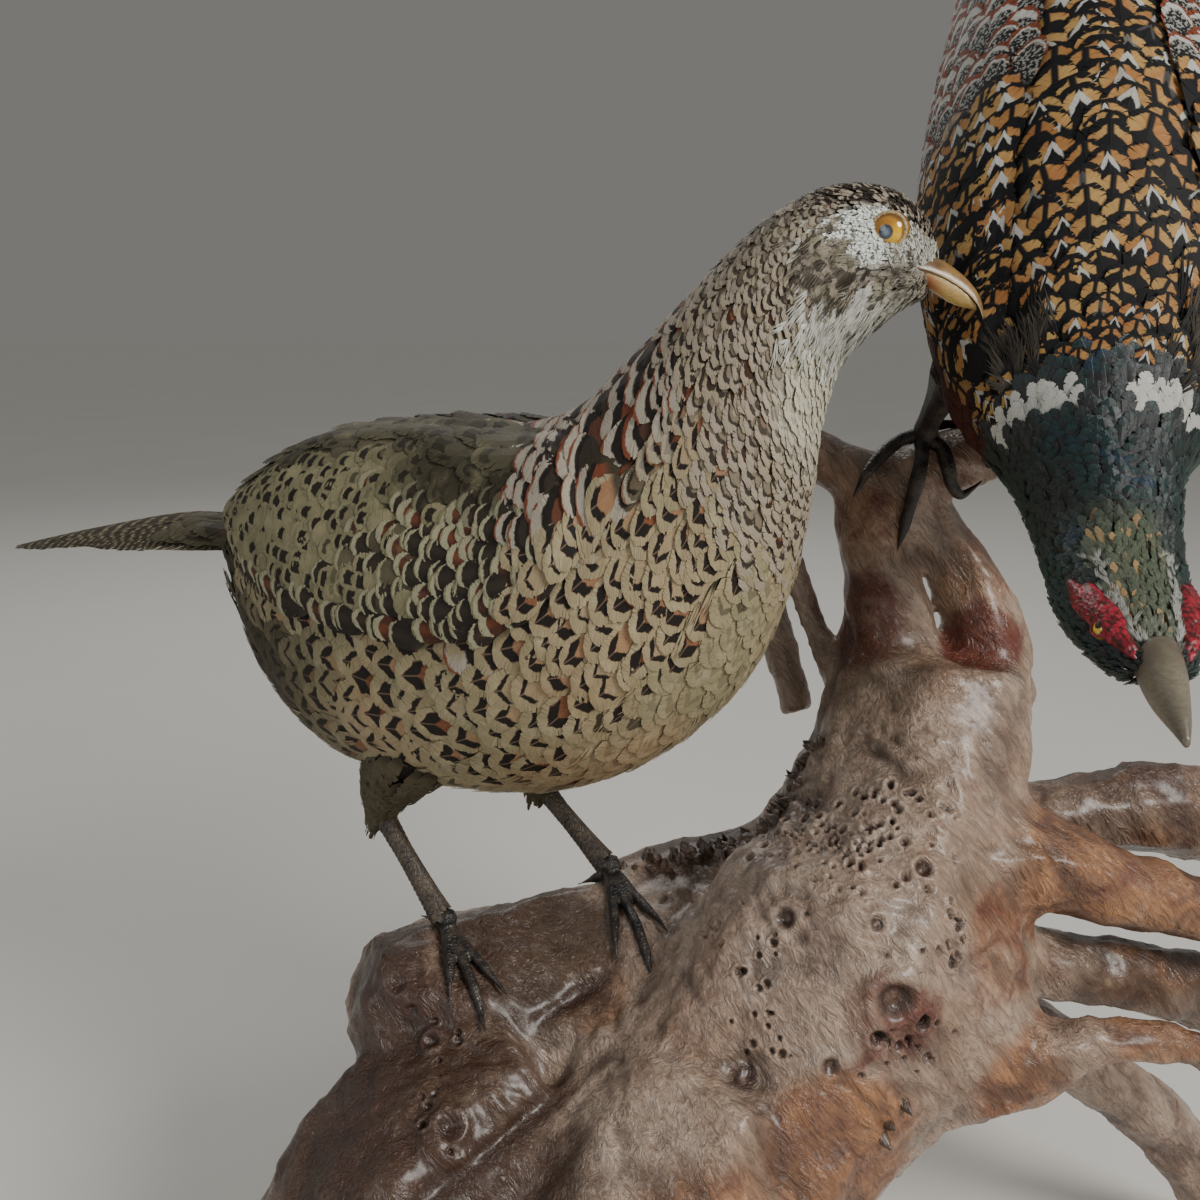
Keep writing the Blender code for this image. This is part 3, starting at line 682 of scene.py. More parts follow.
class Nodes:
    """Short spellings for the nodes of a material or a group."""

    def __init__(self, tree):
        self.tree = tree

    def put(self, socket, value):
        if isinstance(value, bpy.types.NodeSocket):
            self.tree.links.new(value, socket)
        elif socket.type == "RGBA":
            socket.default_value = (*tuple(value)[:3], 1.0)
        else:
            socket.default_value = value

    def add(self, kind, inputs=None, **settings):
        node = self.tree.nodes.new("ShaderNode" + kind)
        for key, value in settings.items():
            setattr(node, key, value)
        for key, value in (inputs or {}).items():
            self.put(node.inputs[key], value)
        return node

    def math(self, operation, a, b=0.0, c=0.0):
        return self.add("Math", {0: a, 1: b, 2: c}, operation=operation).outputs[0]

    def times(self, a, b):
        return self.math("MULTIPLY", a, b)

    def plus(self, a, b):
        return self.math("ADD", a, b)

    def minus(self, a, b):
        return self.math("SUBTRACT", a, b)

    def line(self, a, slope, start):
        return self.math("MULTIPLY_ADD", a, slope, start)

    def beat(self, a, rate, start=0.0):
        """Runs from 0 to 1 again and again as a rises."""
        return self.math("FRACT", self.line(a, rate, start))

    def mix(self, factor, a, b, blend="MIX"):
        node = self.add("Mix", {0: factor, 6: a, 7: b}, data_type="RGBA", blend_type=blend)
        return node.outputs[2]

    def step(self, value, low, high, start=0.0, end=1.0):
        inputs = {0: value, 1: low, 2: high, 3: start, 4: end}
        return self.add("MapRange", inputs, interpolation_type="SMOOTHSTEP").outputs[0]

    def vector(self, x, y, z):
        return self.add("CombineXYZ", {0: x, 1: y, 2: z}).outputs[0]

    def noise(self, vector, scale, detail=3.0, roughness=0.55, distortion=0.0):
        inputs = {"Vector": vector, "Scale": scale, "Detail": detail, "Roughness": roughness,
                  "Distortion": distortion}
        return self.add("TexNoise", inputs).outputs[0]

    def cells(self, vector, scale, feature="F1"):
        cells = self.add("TexVoronoi", {"Vector": vector, "Scale": scale}, feature=feature)
        return cells.outputs["Distance"]

    def object_place(self, stretch=(1.0, 1.0, 1.0)):
        place = self.add("TexCoord").outputs["Object"]
        return self.add("Mapping", {"Vector": place, "Scale": stretch}).outputs[0]

    def speckle(self, scale, detail=3.0):
        return self.noise(self.object_place(), scale, detail)

    def shares(self, name="Marks"):
        """The three values of a vector attribute."""
        values = self.add("Attribute", attribute_name=name).outputs["Vector"]
        return self.add("SeparateXYZ", {0: values}).outputs

    def bump(self, height, strength, distance):
        inputs = {"Height": height, "Strength": strength, "Distance": distance}
        return self.add("Bump", inputs).outputs[0]

    def group(self, tree, inputs):
        node = self.tree.nodes.new("ShaderNodeGroup")
        node.node_tree = tree
        for key, value in inputs.items():
            self.put(node.inputs[key], value)
        return node.outputs

    def crescent(self, vane, tip, width, bend, power, lobe):
        """A band inside the tip of the feather whose place is vane."""
        inputs = {key: vane[key] for key in ("Across", "Along", "Random")}
        inputs.update(Tip=tip, Width=width, Bend=bend, Power=power, Lobe=lobe)
        return self.group(GROUPS["crescent"], inputs)


def new_group(name, inputs, outputs):
    """An empty shader node group of plain values, and its Nodes, input sockets and output sockets."""
    tree = bpy.data.node_groups.new(name, "ShaderNodeTree")
    for side, sockets in (("INPUT", inputs), ("OUTPUT", outputs)):
        for socket in sockets:
            tree.interface.new_socket(socket, in_out=side, socket_type="NodeSocketFloat")
    start, end = tree.nodes.new("NodeGroupInput"), tree.nodes.new("NodeGroupOutput")
    return tree, Nodes(tree), start.outputs, end.inputs


def vane_group():
    """Where a point lies on its own feather, with the shaft, the barbs and the feather's shares."""
    outputs = ("Across", "Along", "Shaft", "Barbs", "First", "Second", "Random")
    tree, n, _, out = new_group("feather_vane", (), outputs)
    uv = n.add("SeparateXYZ", {0: n.add("UVMap", uv_map="Vane").outputs[0]}).outputs
    marks = n.shares()
    across = n.math("ABSOLUTE", n.line(uv[0], 2.0, -1.0))
    slant = n.line(across, -0.34, uv[1])
    streak = n.vector(n.times(slant, 75.0), across, n.times(marks[2], 40.0))
    n.put(out["Across"], across)
    n.put(out["Along"], uv[1])
    n.put(out["Shaft"], n.step(across, 0.015, 0.05, 1.0, 0.0))
    n.put(out["Barbs"], n.noise(streak, 1.0))
    for name, socket in zip(outputs[-3:], marks):
        n.put(out[name], socket)
    return tree


def crescent_group():
    """A dark band inside a feather's tip: pointed where Power is 1 and round where it is 2.

    It runs no further out than Lobe, so that the fringe closes round it.
    """
    inputs = ("Across", "Along", "Random", "Tip", "Width", "Bend", "Power", "Lobe")
    tree, n, start, out = new_group("tip_crescent", inputs, ("Fringe", "Band", "Inside"))
    across, along, own = start["Across"], start["Along"], start["Random"]
    place = n.vector(n.times(across, 2.5), n.times(along, 7.0), n.times(own, 60.0))
    wander = n.line(n.noise(place, 1.0, 2.0), 0.14, -0.07)
    curve = n.times(n.math("POWER", across, start["Power"]), start["Bend"])
    reach = n.plus(n.plus(along, curve), wander)
    outer = n.minus(reach, n.line(n.beat(own, 7.0), 0.05, start["Tip"]))
    inner = n.plus(outer, n.times(start["Width"], n.line(own, 1.1, 0.45)))
    aside = n.minus(n.plus(across, n.times(wander, 2.0)), start["Lobe"])
    beyond = n.step(aside, -0.06, 0.06)
    fringe = n.math("MAXIMUM", n.step(outer, -0.014, 0.014), beyond)
    inside = n.times(n.step(inner, -0.018, 0.018, 1.0, 0.0), n.minus(1.0, beyond))
    n.put(out["Fringe"], fringe)
    n.put(out["Inside"], inside)
    n.put(out["Band"], n.minus(n.minus(1.0, fringe), inside))
    return tree


def new_material(name, build, roughness, bump, sockets):
    """A material whose build(nodes) gives its colour and its height, and roughness if that varies."""
    material = bpy.data.materials.new(name)
    material.use_nodes = True
    n = Nodes(material.node_tree)
    shader = material.node_tree.nodes["Principled BSDF"]
    colour, height, *varied = build(n)
    n.put(shader.inputs["Base Color"], colour)
    n.put(shader.inputs["Normal"], n.bump(height, *bump))
    n.put(shader.inputs["Roughness"], varied[0] if varied else roughness)
    for key, value in sockets.items():
        n.put(shader.inputs[key], value)
    material.diffuse_color = (0.4, 0.33, 0.24, 1.0)
    return material


def plumage(settings, colours):
    """Barb by barb light and dark over the colour of a feather, downy towards its root, and the height.

    colours(nodes, settings, vane) gives the colour of the vane and that of the down.
    """
    def build(n):
        vane = n.group(GROUPS["vane"], {})
        colour, down = colours(n, getattr(bpy.context.scene, settings), vane)
        light = n.step(vane["Barbs"], 0.3, 0.7, 0.80, 1.12)
        light = n.times(light, n.line(n.beat(vane["Random"], 13.0), 0.14, 0.93))
        streaked = n.mix(1.0, colour, n.vector(light, light, light), "MULTIPLY")
        root = n.step(vane["Along"], 0.15, 0.40, 1.0, 0.0)
        return n.mix(root, streaked, down), n.line(vane["Shaft"], 0.4, vane["Barbs"])
    return build


def hen_body_colours(n, look, vane):
    """Buff feathers with black arrowheads on the flanks, and chestnut ones with pale bows on the mantle.

    First is the share of mantle, and past 1 of darkness, partly painted shade. Second is how strong the
    marks are.
    """
    first, own = vane["First"], vane["Random"]
    arrow = n.crescent(vane, 0.88, 0.14, 0.26, 0.9, 0.60)
    bow = n.crescent(vane, 0.90, 0.24, 0.18, 2.2, 2.0)
    line = n.crescent(vane, 0.94, 0.14, 0.18, 2.0, 0.9)
    buff = n.mix(n.step(n.speckle(22.0, 2.0), 0.35, 0.65), look.buff, look.olive_buff)
    buff = n.mix(n.step(n.speckle(15.0, 2.0), 0.5, 0.7, 0.0, 0.45), buff, look.pink_buff)
    buff = n.mix(n.step(n.speckle(150.0, 2.0), 0.45, 0.75, 0.0, 0.4), buff, look.cream)
    warm = n.mix(n.step(own, 0.6, 0.95), look.pink_buff, look.chestnut)
    warm = n.mix(n.step(own, 0.35, 0.6, 0.2, 1.0), buff, warm)
    flank = n.mix(arrow["Band"], n.mix(arrow["Fringe"], warm, buff), look.mark)
    quill = n.times(vane["Shaft"], n.plus(arrow["Band"], n.times(arrow["Inside"], 0.3)))
    flank = n.mix(n.times(quill, 0.3), flank, look.shaft)
    rust = n.mix(n.step(own, 0.3, 0.8), look.crown, look.rust)
    mantle = n.mix(bow["Band"], n.mix(bow["Fringe"], rust, look.rust), look.mark)
    mantle = n.mix(line["Band"], mantle, look.pale_bow)
    warmed = n.times(arrow["Inside"], n.step(own, 0.7, 0.9, 0.0, 0.3))
    plain = n.mix(n.times(arrow["Band"], 0.3), n.mix(warmed, buff, look.chestnut), look.mark)
    bowed = n.times(n.step(first, 0.3, 0.7), n.step(first, 1.0, 1.04, 1.0, 0.0))
    marked = n.mix(bowed, flank, mantle)
    strong = n.step(n.plus(vane["Second"], n.times(own, 0.4)), 0.5, 0.8)
    colour = n.mix(strong, plain, marked)
    # Past 1, First mixes in dusk: the back's and vent's own dark olive, partly painted shade.
    return n.mix(n.step(first, 0.98, 1.8, 0.0, 0.92), colour, look.dusk), look.down


def hen_neck_colours(n, look, vane):
    """Grey-beige tips with thin dark crescents. First is dark nape, and Second pale throat."""
    own = vane["Random"]
    bow = n.crescent(vane, 0.78, 0.12, 0.22, 1.8, 2.0)
    tip = n.mix(n.step(own, 0.2, 0.9, 0.0, 0.35), look.grey_pink, look.buff)
    centre = n.mix(n.step(own, 0.8, 0.95), look.grey_buff, look.chestnut)
    colour = n.mix(n.times(bow["Band"], 0.85), n.mix(bow["Fringe"], centre, tip), look.mark)
    throat = n.mix(n.times(bow["Band"], 0.2), look.throat, look.mark)
    colour = n.mix(vane["Second"], colour, throat)
    nape = n.mix(n.step(own, 0.4, 0.7), look.crown, look.grey_pink)
    return n.mix(n.times(vane["First"], 0.8), colour, nape), look.down


def hen_head_colours(n, look, vane):
    """Specked face feathers. First is dark crown, and Second runs from grey-white cheek to warm buff."""
    tint = n.mix(n.step(vane["Random"], 0.3, 0.8), look.grey_buff, look.olive_buff)
    pale = n.mix(vane["Second"], look.cheek, tint)
    dark = n.mix(n.step(n.speckle(300.0, 2.0), 0.47, 0.56), look.crown, look.grey_pink)
    colour = n.mix(vane["First"], pale, dark)
    speck = n.times(n.step(vane["Random"], 0.84, 0.88), n.step(vane["Along"], 0.35, 0.7))
    colour = n.mix(n.times(speck, 0.8), colour, look.mark)
    return colour, n.mix(vane["First"], n.mix(0.4, look.cheek, look.grey_buff), look.crown)


def hen_wing_colours(n, look, vane):
    """Olive-buff coverts with dark drops. First runs from cream scallops at -1 to barred quills at 1.

    Second darkens them towards the shoulder and along the top of the wing: partly their own darker colour,
    partly painted shade.
    """
    across, own = vane["Across"], vane["Random"]
    drop = n.crescent(vane, 0.89, 0.16, 0.16, 1.3, 0.46)
    bow = n.crescent(vane, 0.95, 0.11, 0.20, 2.0, 2.0)
    mottle = n.speckle(110.0)
    olive = n.mix(n.step(mottle, 0.35, 0.65), look.olive, look.olive_buff)
    drops = n.mix(n.step(own, 0.5, 0.9, 0.0, 0.4), look.mark, look.crown)
    covert = n.mix(n.times(drop["Band"], n.step(own, 0.22, 0.40)), olive, drops)
    heart = n.mix(n.step(own, 0.6, 0.95, 0.0, 0.7), look.crown, look.rust)
    heart = n.mix(n.step(across, 0.1, 0.5, 0.0, 0.6), heart, look.mark)
    scallop = n.mix(bow["Band"], n.mix(bow["Fringe"], heart, look.olive), look.wing_bow)
    covert = n.mix(n.step(vane["First"], -0.75, -0.25, 1.0, 0.0), covert, scallop)
    # Second darkens the upper wing towards dusk, partly as painted shade.
    dark = n.mix(n.step(mottle, 0.5, 0.75, 0.0, 0.4), look.dusk, look.olive)
    covert = n.mix(n.times(vane["Second"], 0.92), covert, dark)
    wavy = n.plus(n.beat(vane["Along"], 17.0, own), n.times(across, 0.2))
    bar = n.times(n.step(wavy, 0.72, 0.82), n.step(across, 0.15, 0.4))
    quill = n.mix(n.times(bar, 0.6), look.crown, look.buff)
    return n.mix(n.step(vane["First"], 0.25, 0.75), covert, quill), look.down


def hen_tail_colours(n, look, vane):
    """Dark brown tail feathers crossed by fine broken buff bars, paler along their rims."""
    broken = n.noise(n.vector(vane["Along"], vane["Across"], vane["Random"]), 9.0)
    beat = n.beat(vane["Along"], 22.0, n.times(broken, 1.4))
    bar = n.times(n.step(beat, 0.62, 0.72), n.step(broken, 0.38, 0.55))
    colour = n.mix(n.times(bar, 0.75), look.tail, look.olive_buff)
    colour = n.mix(n.step(vane["Across"], 0.7, 1.0, 0.0, 0.5), colour, look.olive)
    return n.mix(n.times(vane["Shaft"], 0.5), colour, look.pink_buff), look.tail


def hen_skin_colours(n):
    """Down between the feathers. Marks holds shares of pale face skin and of painted shadow on the down, in
    random patches.
    """
    look = bpy.context.scene.hen_colours
    marks = n.shares()
    fine, fleck = n.speckle(900.0), n.speckle(140.0)
    down = n.mix(n.step(fleck, 0.4, 0.62), look.down, look.crown)
    # Painted shadow: random patches of the down go towards near black.
    down = n.mix(n.times(marks[1], 0.6), down, look.mark)
    face = n.mix(n.step(fine, 0.4, 0.6), look.cheek, look.grey_buff)
    return n.mix(marks[0], down, face), n.plus(fine, fleck)


def cock_body_colours(n, look, vane):
    """Black feathers with golden sides and white arrows. First is maroon breast, Second chestnut back."""
    edge = n.crescent(vane, 0.90, 0.17, 0.20, 1.2, 0.84)
    arrow = n.crescent(vane, 0.86, 0.12, 0.55, 1.0, 0.40)
    bow = n.crescent(vane, 0.92, 0.10, 0.30, 1.8, 0.8)
    gold = n.mix(n.step(n.speckle(60.0, 2.0), 0.35, 0.65), look.gold, look.orange)
    middle = n.step(vane["Across"], 0.08, 0.20, 1.0, 0.0)
    sides = n.mix(n.times(edge["Band"], n.minus(1.0, middle)), look.black, gold)
    some = n.step(n.beat(vane["Random"], 5.0), 0.50, 0.60)
    arrowed = n.mix(n.times(arrow["Band"], some), sides, look.white)
    back = n.mix(bow["Band"], n.mix(bow["Fringe"], look.black, look.chestnut), look.white)
    frost = n.step(n.speckle(900.0, 1.0), 0.5, 0.56, 0.0, 0.6)
    back = n.mix(n.times(bow["Inside"], frost), back, look.white)
    breast = n.mix(n.step(vane["Barbs"], 0.4, 0.8), look.maroon, look.copper)
    breast = n.mix(n.step(vane["Along"], 0.90, 0.96), breast, look.black)
    upper = n.mix(n.step(vane["Second"], 0.4, 0.6), arrowed, back)
    return n.mix(vane["First"], upper, breast), look.black


def cock_head_colours(n, look, vane):
    """Black neck feathers with a blue-green sheen. First is white ring, and Second grey-green crown."""
    patch = n.speckle(42.0, 2.0)
    tipped = n.step(vane["Along"], 0.6, 0.95)
    sheen = n.mix(n.times(tipped, n.step(patch, 0.42, 0.62)), look.black, look.green)
    sheen = n.mix(n.times(tipped, n.step(patch, 0.62, 0.72)), sheen, look.blue)
    crown = n.mix(n.step(vane["Barbs"], 0.35, 0.7), look.slate_green, look.crown)
    crown = n.mix(n.step(vane["Random"], 0.86, 0.94), crown, look.buff)
    return n.mix(vane["First"], n.mix(vane["Second"], sheen, crown), look.white), look.black


def cock_soft_colours(n, look, vane):
    """Loose grey-brown plumes."""
    return n.mix(vane["Random"], look.grey, look.black), look.black


def cock_tail_colours(n, look, vane):
    """Long buff tail feathers with black cross bars and a coppery fringe."""
    beat = n.beat(vane["Along"], 24.0, vane["Random"])
    bar = n.times(n.step(beat, 0.6, 0.68), n.step(vane["Across"], 0.75, 0.55))
    colour = n.mix(n.step(vane["Across"], 0.55, 0.9), look.buff, look.copper)
    return n.mix(bar, colour, look.black), look.grey


def cock_skin_colours(n):
    """Down between the feathers. Marks holds shares of maroon breast and of black neck."""
    look = bpy.context.scene.cock_colours
    marks = n.shares()
    fine = n.speckle(500.0)
    down = n.mix(n.step(fine, 0.4, 0.6), look.grey, look.gold)
    return n.mix(marks[1], n.mix(marks[0], down, look.maroon), look.black), fine


def leg_colours(n):
    """Grey-brown scaled skin."""
    place = n.object_place((1.0, 1.0, 0.6))
    scale = n.cells(place, 520.0, "DISTANCE_TO_EDGE")
    colour = n.mix(n.step(n.noise(place, 180.0), 0.35, 0.65), shade(92, 80, 66), shade(58, 50, 44))
    colour = n.mix(n.step(scale, 0.0, 0.08, 0.8, 0.0), colour, shade(30, 26, 23))
    return colour, n.step(scale, 0.0, 0.2)


def toe_colours(n):
    """Near-black toes with worn brown edges."""
    place = n.object_place()
    scale = n.cells(place, 700.0, "DISTANCE_TO_EDGE")
    colour = n.mix(n.step(n.noise(place, 220.0), 0.35, 0.7), shade(24, 22, 22), shade(66, 56, 48))
    return colour, n.step(scale, 0.0, 0.2)


def lid_colours(n):
    """Pinkish buff skin with fine wrinkles."""
    fine = n.speckle(1500.0, 2.0)
    return n.mix(n.step(fine, 0.4, 0.6), shade(188, 166, 128), shade(150, 124, 92)), fine


def horn_colours(pale, dark, base):
    """Horn with fine growth lines. Marks holds shares of dark tip with painted shade in the nostrils, of
    pale rim with a painted highlight, and of base colour.
    """
    def build(n):
        marks = n.shares()
        grain = n.noise(n.object_place((1.0, 1.0, 3.0)), 520.0)
        colour = n.mix(n.step(grain, 0.35, 0.7, 0.0, 0.4), pale, dark)
        # The pale rim: the horn's ivory edge, partly a painted highlight.
        colour = n.mix(n.times(marks[1], 0.8), colour, n.mix(0.5, pale, shade(244, 230, 196)))
        flake = n.step(n.speckle(260.0), 0.3, 0.6, 0.6, 1.0)
        colour = n.mix(n.times(marks[2], flake), colour, base)
        return n.mix(marks[0], colour, n.mix(0.6, dark, (0.02, 0.012, 0.01))), grain
    return build


def wattle_colours(n):
    """Red face skin of small round beads, with painted shade in the creases between them."""
    bead = n.cells(n.object_place(), 620.0)
    tone = n.speckle(120.0, 2.0)
    colour = n.mix(n.step(tone, 0.4, 0.6), shade(128, 14, 32), shade(160, 26, 48))
    # Painted shade: dark red where the bump sinks, between the beads.
    return n.mix(n.step(bead, 0.35, 0.8), colour, shade(70, 8, 8)), n.times(bead, -1.0)


def eye_colours(iris, lit_iris, pupil, pupil_highlight):
    """A glass eye: Marks holds the share of the way out from the pupil's middle, its angle, and how far up
    and to the left a point lies, which places painted light on the iris.
    """
    def build(n):
        marks = n.shares()
        rays = n.noise(n.vector(marks[1], marks[0], 0.0), 9.0)
        # Painted light: the iris runs from its own amber above to a brighter, lit yellow below.
        ring = n.mix(n.step(marks[2], -0.35, 0.35), lit_iris, iris)
        ring = n.mix(n.step(rays, 0.4, 0.7, 0.0, 0.25), ring, shade(140, 84, 20))
        ring = n.mix(n.step(marks[0], 0.70, 0.84, 0.0, 0.8), ring, shade(96, 66, 30))
        # Painted highlight: the pupil is pale in its middle and its own dark towards the edge.
        middle = n.mix(n.step(marks[0], 0.0, 0.28), pupil_highlight, pupil)
        return n.mix(n.step(marks[0], 0.32, 0.37), middle, ring), rays
    return build


def root_colours(n):
    """Stained and varnished root.

    Marks holds shares of pit, which include the cracks' painted shade, of red stain and of dark stain, and
    Tint the share of orange and the height of the relief, whose hollows get painted shade.
    """
    look = bpy.context.scene.root_finish
    marks, tint = n.shares(), n.shares("Tint")
    place = n.object_place()
    turning = {"Vector": place, "Angle": math.radians(38)}
    turned = n.add("VectorRotate", turning, rotation_type="Y_AXIS").outputs[0]
    flow = n.add("Mapping", {"Vector": turned, "Scale": (1.0, 1.0, 0.26)}).outputs[0]
    broad = n.noise(place, 14.0, 4.0, 0.6, 0.6)
    cloud = n.noise(place, 48.0, 5.0, 0.65, 1.0)
    ripple = n.noise(flow, 300.0, 3.0, 0.6, 1.6)
    fine = n.noise(flow, 620.0, 4.0, 0.6, 0.8)
    blotch = n.line(n.minus(cloud, 0.5), 1.6, n.minus(broad, 0.5))

    def share(socket):
        return n.step(n.plus(socket, n.times(blotch, 0.55)), 0.22, 0.78)

    colour = n.mix(n.step(broad, 0.34, 0.66), look.pale, look.beige)
    colour = n.mix(n.step(cloud, 0.52, 0.74, 0.0, 0.55), colour, look.red_brown)
    tan = n.mix(n.step(cloud, 0.35, 0.7), look.orange, look.red_brown)
    colour = n.mix(share(tint[0]), colour, tan)
    red = n.mix(n.step(cloud, 0.3, 0.7), look.red_brown, look.red)
    colour = n.mix(share(marks[1]), colour, red)
    stain = n.mix(n.step(broad, 0.35, 0.65), look.stain, look.dark)
    colour = n.mix(n.times(share(marks[2]), 0.86), colour, stain)
    grain = n.step(ripple, 0.36, 0.66)
    colour = n.mix(n.times(grain, 0.42), colour, look.dark)
    # Painted highlights on the crests of the fine relief, then painted shade in its troughs.
    ridge_highlight = n.mix(share(marks[2]), look.pale, look.red_brown)
    colour = n.mix(n.step(fine, 0.52, 0.78, 0.0, 0.30), colour, ridge_highlight)
    colour = n.mix(n.step(fine, 0.48, 0.22, 0.0, 0.34), colour, look.dark)
    # Painted shade in the hollows of the relief, wherever the surface was sunk.
    hollow_shade = n.step(n.times(tint[1], -1.0), -0.04, 0.16, 0.0, 0.6)
    colour = n.mix(hollow_shade, colour, look.dark)
    # Knots, pits and the painted shade in the cracks take the knot colour.
    colour = n.mix(n.step(marks[0], 0.25, 0.75), colour, look.knot)
    height = n.plus(n.times(ripple, -0.9), n.times(fine, 0.22))
    return colour, height, n.step(cloud, 0.3, 0.7, 0.24, 0.46)


def floor_colours(n):
    """Pale paper, hardly mottled."""
    mottle = n.speckle(3.0, 2.0)
    return n.mix(mottle, shade(214, 211, 205), shade(222, 219, 214)), mottle


FEATHER = (0.66, (0.25, 0.0004), {"Specular IOR Level": 0.25})
SOFT_BUMP = (0.4, 0.0004)
SHEEN = {"Sheen Weight": 0.3, "Sheen Tint": shade(60, 140, 120)}
HORN_BUMP = (0.2, 0.0002)
HORN_GLOSS = {"Coat Weight": 0.35, "Coat Roughness": 0.28}
GLASS = (0.12, (0.0, 0.0001), {"Coat Weight": 0.8, "Coat Roughness": 0.14})
UPPER_HORN = horn_colours(shade(146, 112, 62), shade(84, 64, 38), shade(108, 80, 54))
LOWER_HORN = horn_colours(shade(188, 156, 88), shade(140, 100, 48), shade(144, 72, 34))
COCK_HORN = horn_colours(shade(122, 114, 96), shade(66, 62, 56), shade(92, 82, 68))
# Each eye: iris, its painted lit lower part, pupil, and the pupil's painted highlight.
HEN_IRIS = eye_colours(shade(176, 122, 44), shade(226, 176, 20), shade(58, 68, 82), shade(140, 152, 168))
COCK_IRIS = eye_colours(shade(206, 150, 40), shade(226, 190, 60), shade(10, 10, 12), shade(16, 16, 20))
FINISHES = {  # finish: slot, material, colours, roughness, bump's strength and distance, other sockets
    "hen_body": ("hen_plumage", "hen_body_plumage", plumage("hen_colours", hen_body_colours), *FEATHER),
    "hen_neck": ("hen_plumage", "hen_neck_plumage", plumage("hen_colours", hen_neck_colours), *FEATHER),
    "hen_head": ("hen_plumage", "hen_head_plumage", plumage("hen_colours", hen_head_colours), *FEATHER),
    "hen_wing": ("hen_plumage", "hen_wing_plumage", plumage("hen_colours", hen_wing_colours), *FEATHER),
    "hen_tail": ("hen_tail", "hen_tail_plumage", plumage("hen_colours", hen_tail_colours), *FEATHER),
    "hen_skin": ("hen_plumage", "hen_down", hen_skin_colours, 0.85, SOFT_BUMP, {}),
    "cock_body": ("cock_plumage", "cock_body_plumage", plumage("cock_colours", cock_body_colours), *FEATHER),
    "cock_head": ("cock_plumage", "cock_neck_plumage", plumage("cock_colours", cock_head_colours), 0.35,
                  SOFT_BUMP, SHEEN),
    "cock_soft": ("cock_plumage", "cock_soft_plumage", plumage("cock_colours", cock_soft_colours), *FEATHER),
    "cock_tail": ("cock_plumage", "cock_tail_plumage", plumage("cock_colours", cock_tail_colours), *FEATHER),
    "cock_skin": ("cock_plumage", "cock_down", cock_skin_colours, 0.85, SOFT_BUMP, {}),
    "leg": ("leg_scale", "scaled_leg", leg_colours, 0.5, SOFT_BUMP, {}),
    "toe": ("foot_scale", "dark_toe", toe_colours, 0.4, SOFT_BUMP, {}),
    "lid": ("hen_plumage", "eyelid_skin", lid_colours, 0.6, SOFT_BUMP, {}),
    "bill_upper": ("bill_horn", "upper_bill_horn", UPPER_HORN, 0.35, HORN_BUMP, HORN_GLOSS),
    "bill_lower": ("bill_horn", "lower_bill_horn", LOWER_HORN, 0.3, HORN_BUMP, HORN_GLOSS),
    "cock_bill": ("bill_horn", "cock_bill_horn", COCK_HORN, 0.35, HORN_BUMP, HORN_GLOSS),
    "wattle": ("cock_plumage", "red_wattle", wattle_colours, 0.45, (0.6, 0.0006), {"Coat Weight": 0.2}),
    "hen_eye": ("eye_glass", "hen_eye_glass", HEN_IRIS, *GLASS),
    "cock_eye": ("eye_glass", "cock_eye_glass", COCK_IRIS, *GLASS),
    "root": ("varnished_root", "varnished_root_wood", root_colours, 0.36, (0.9, 0.0020),
             {"Coat Roughness": 0.24}),
    "floor": (None, "studio_floor", floor_colours, 0.85, (0.0, 0.001), {}),
}


# ---- colours and sizes a user may change


def hue(name, description, *seen):
    return bpy.props.FloatVectorProperty(
        name=name, description=description, subtype="COLOR", size=3, min=0.0, max=1.0, default=shade(*seen)
    )


def metres(name, description, default):
    return bpy.props.FloatProperty(
        name=name, description=description, default=default, unit="LENGTH", min=0.0
    )


class HenColours(bpy.types.PropertyGroup):
    """The hen's plumage colours."""

    buff: hue("Buff", "Sandy ground of the flank feathers", 158, 143, 112)
    olive_buff: hue("Olive buff", "Greener fringe of flank and wing", 142, 134, 104)
    cream: hue("Cream", "Palest fringe", 186, 174, 144)
    wing_bow: hue("Wing bow", "Pale bows of the wing's front", 158, 154, 126)
    pale_bow: hue("Pale bow", "Grey-white bows of the mantle", 164, 155, 140)
    pink_buff: hue("Pink buff", "Inside of a flank mark", 158, 124, 92)
    chestnut: hue("Chestnut", "Warm heart of a feather", 122, 74, 48)
    rust: hue("Rust", "Warmest heart of a mantle feather", 122, 66, 44)
    grey_pink: hue("Grey pink", "Tips of the neck feathers", 156, 144, 128)
    grey_buff: hue("Grey buff", "Heart of a neck feather", 124, 112, 94)
    throat: hue("Throat", "Whitish throat", 204, 199, 178)
    mark: hue("Mark", "Near-black marks", 30, 24, 20)
    shaft: hue("Shaft", "Feather shafts", 172, 140, 116)
    olive: hue("Olive", "Ground of the wing coverts", 126, 121, 92)
    down: hue("Down", "Hidden down near the skin", 60, 53, 40)
    # Dusk is the dark olive of the back and vent, deepened there with painted shade.
    dusk: hue("Dusk", "Dark olive of the back and vent", 42, 37, 26)
    crown: hue("Crown", "Dark crown of the head", 50, 42, 34)
    cheek: hue("Cheek", "Grey-white face", 232, 235, 228)
    tail: hue("Tail", "Tail feathers", 52, 44, 34)


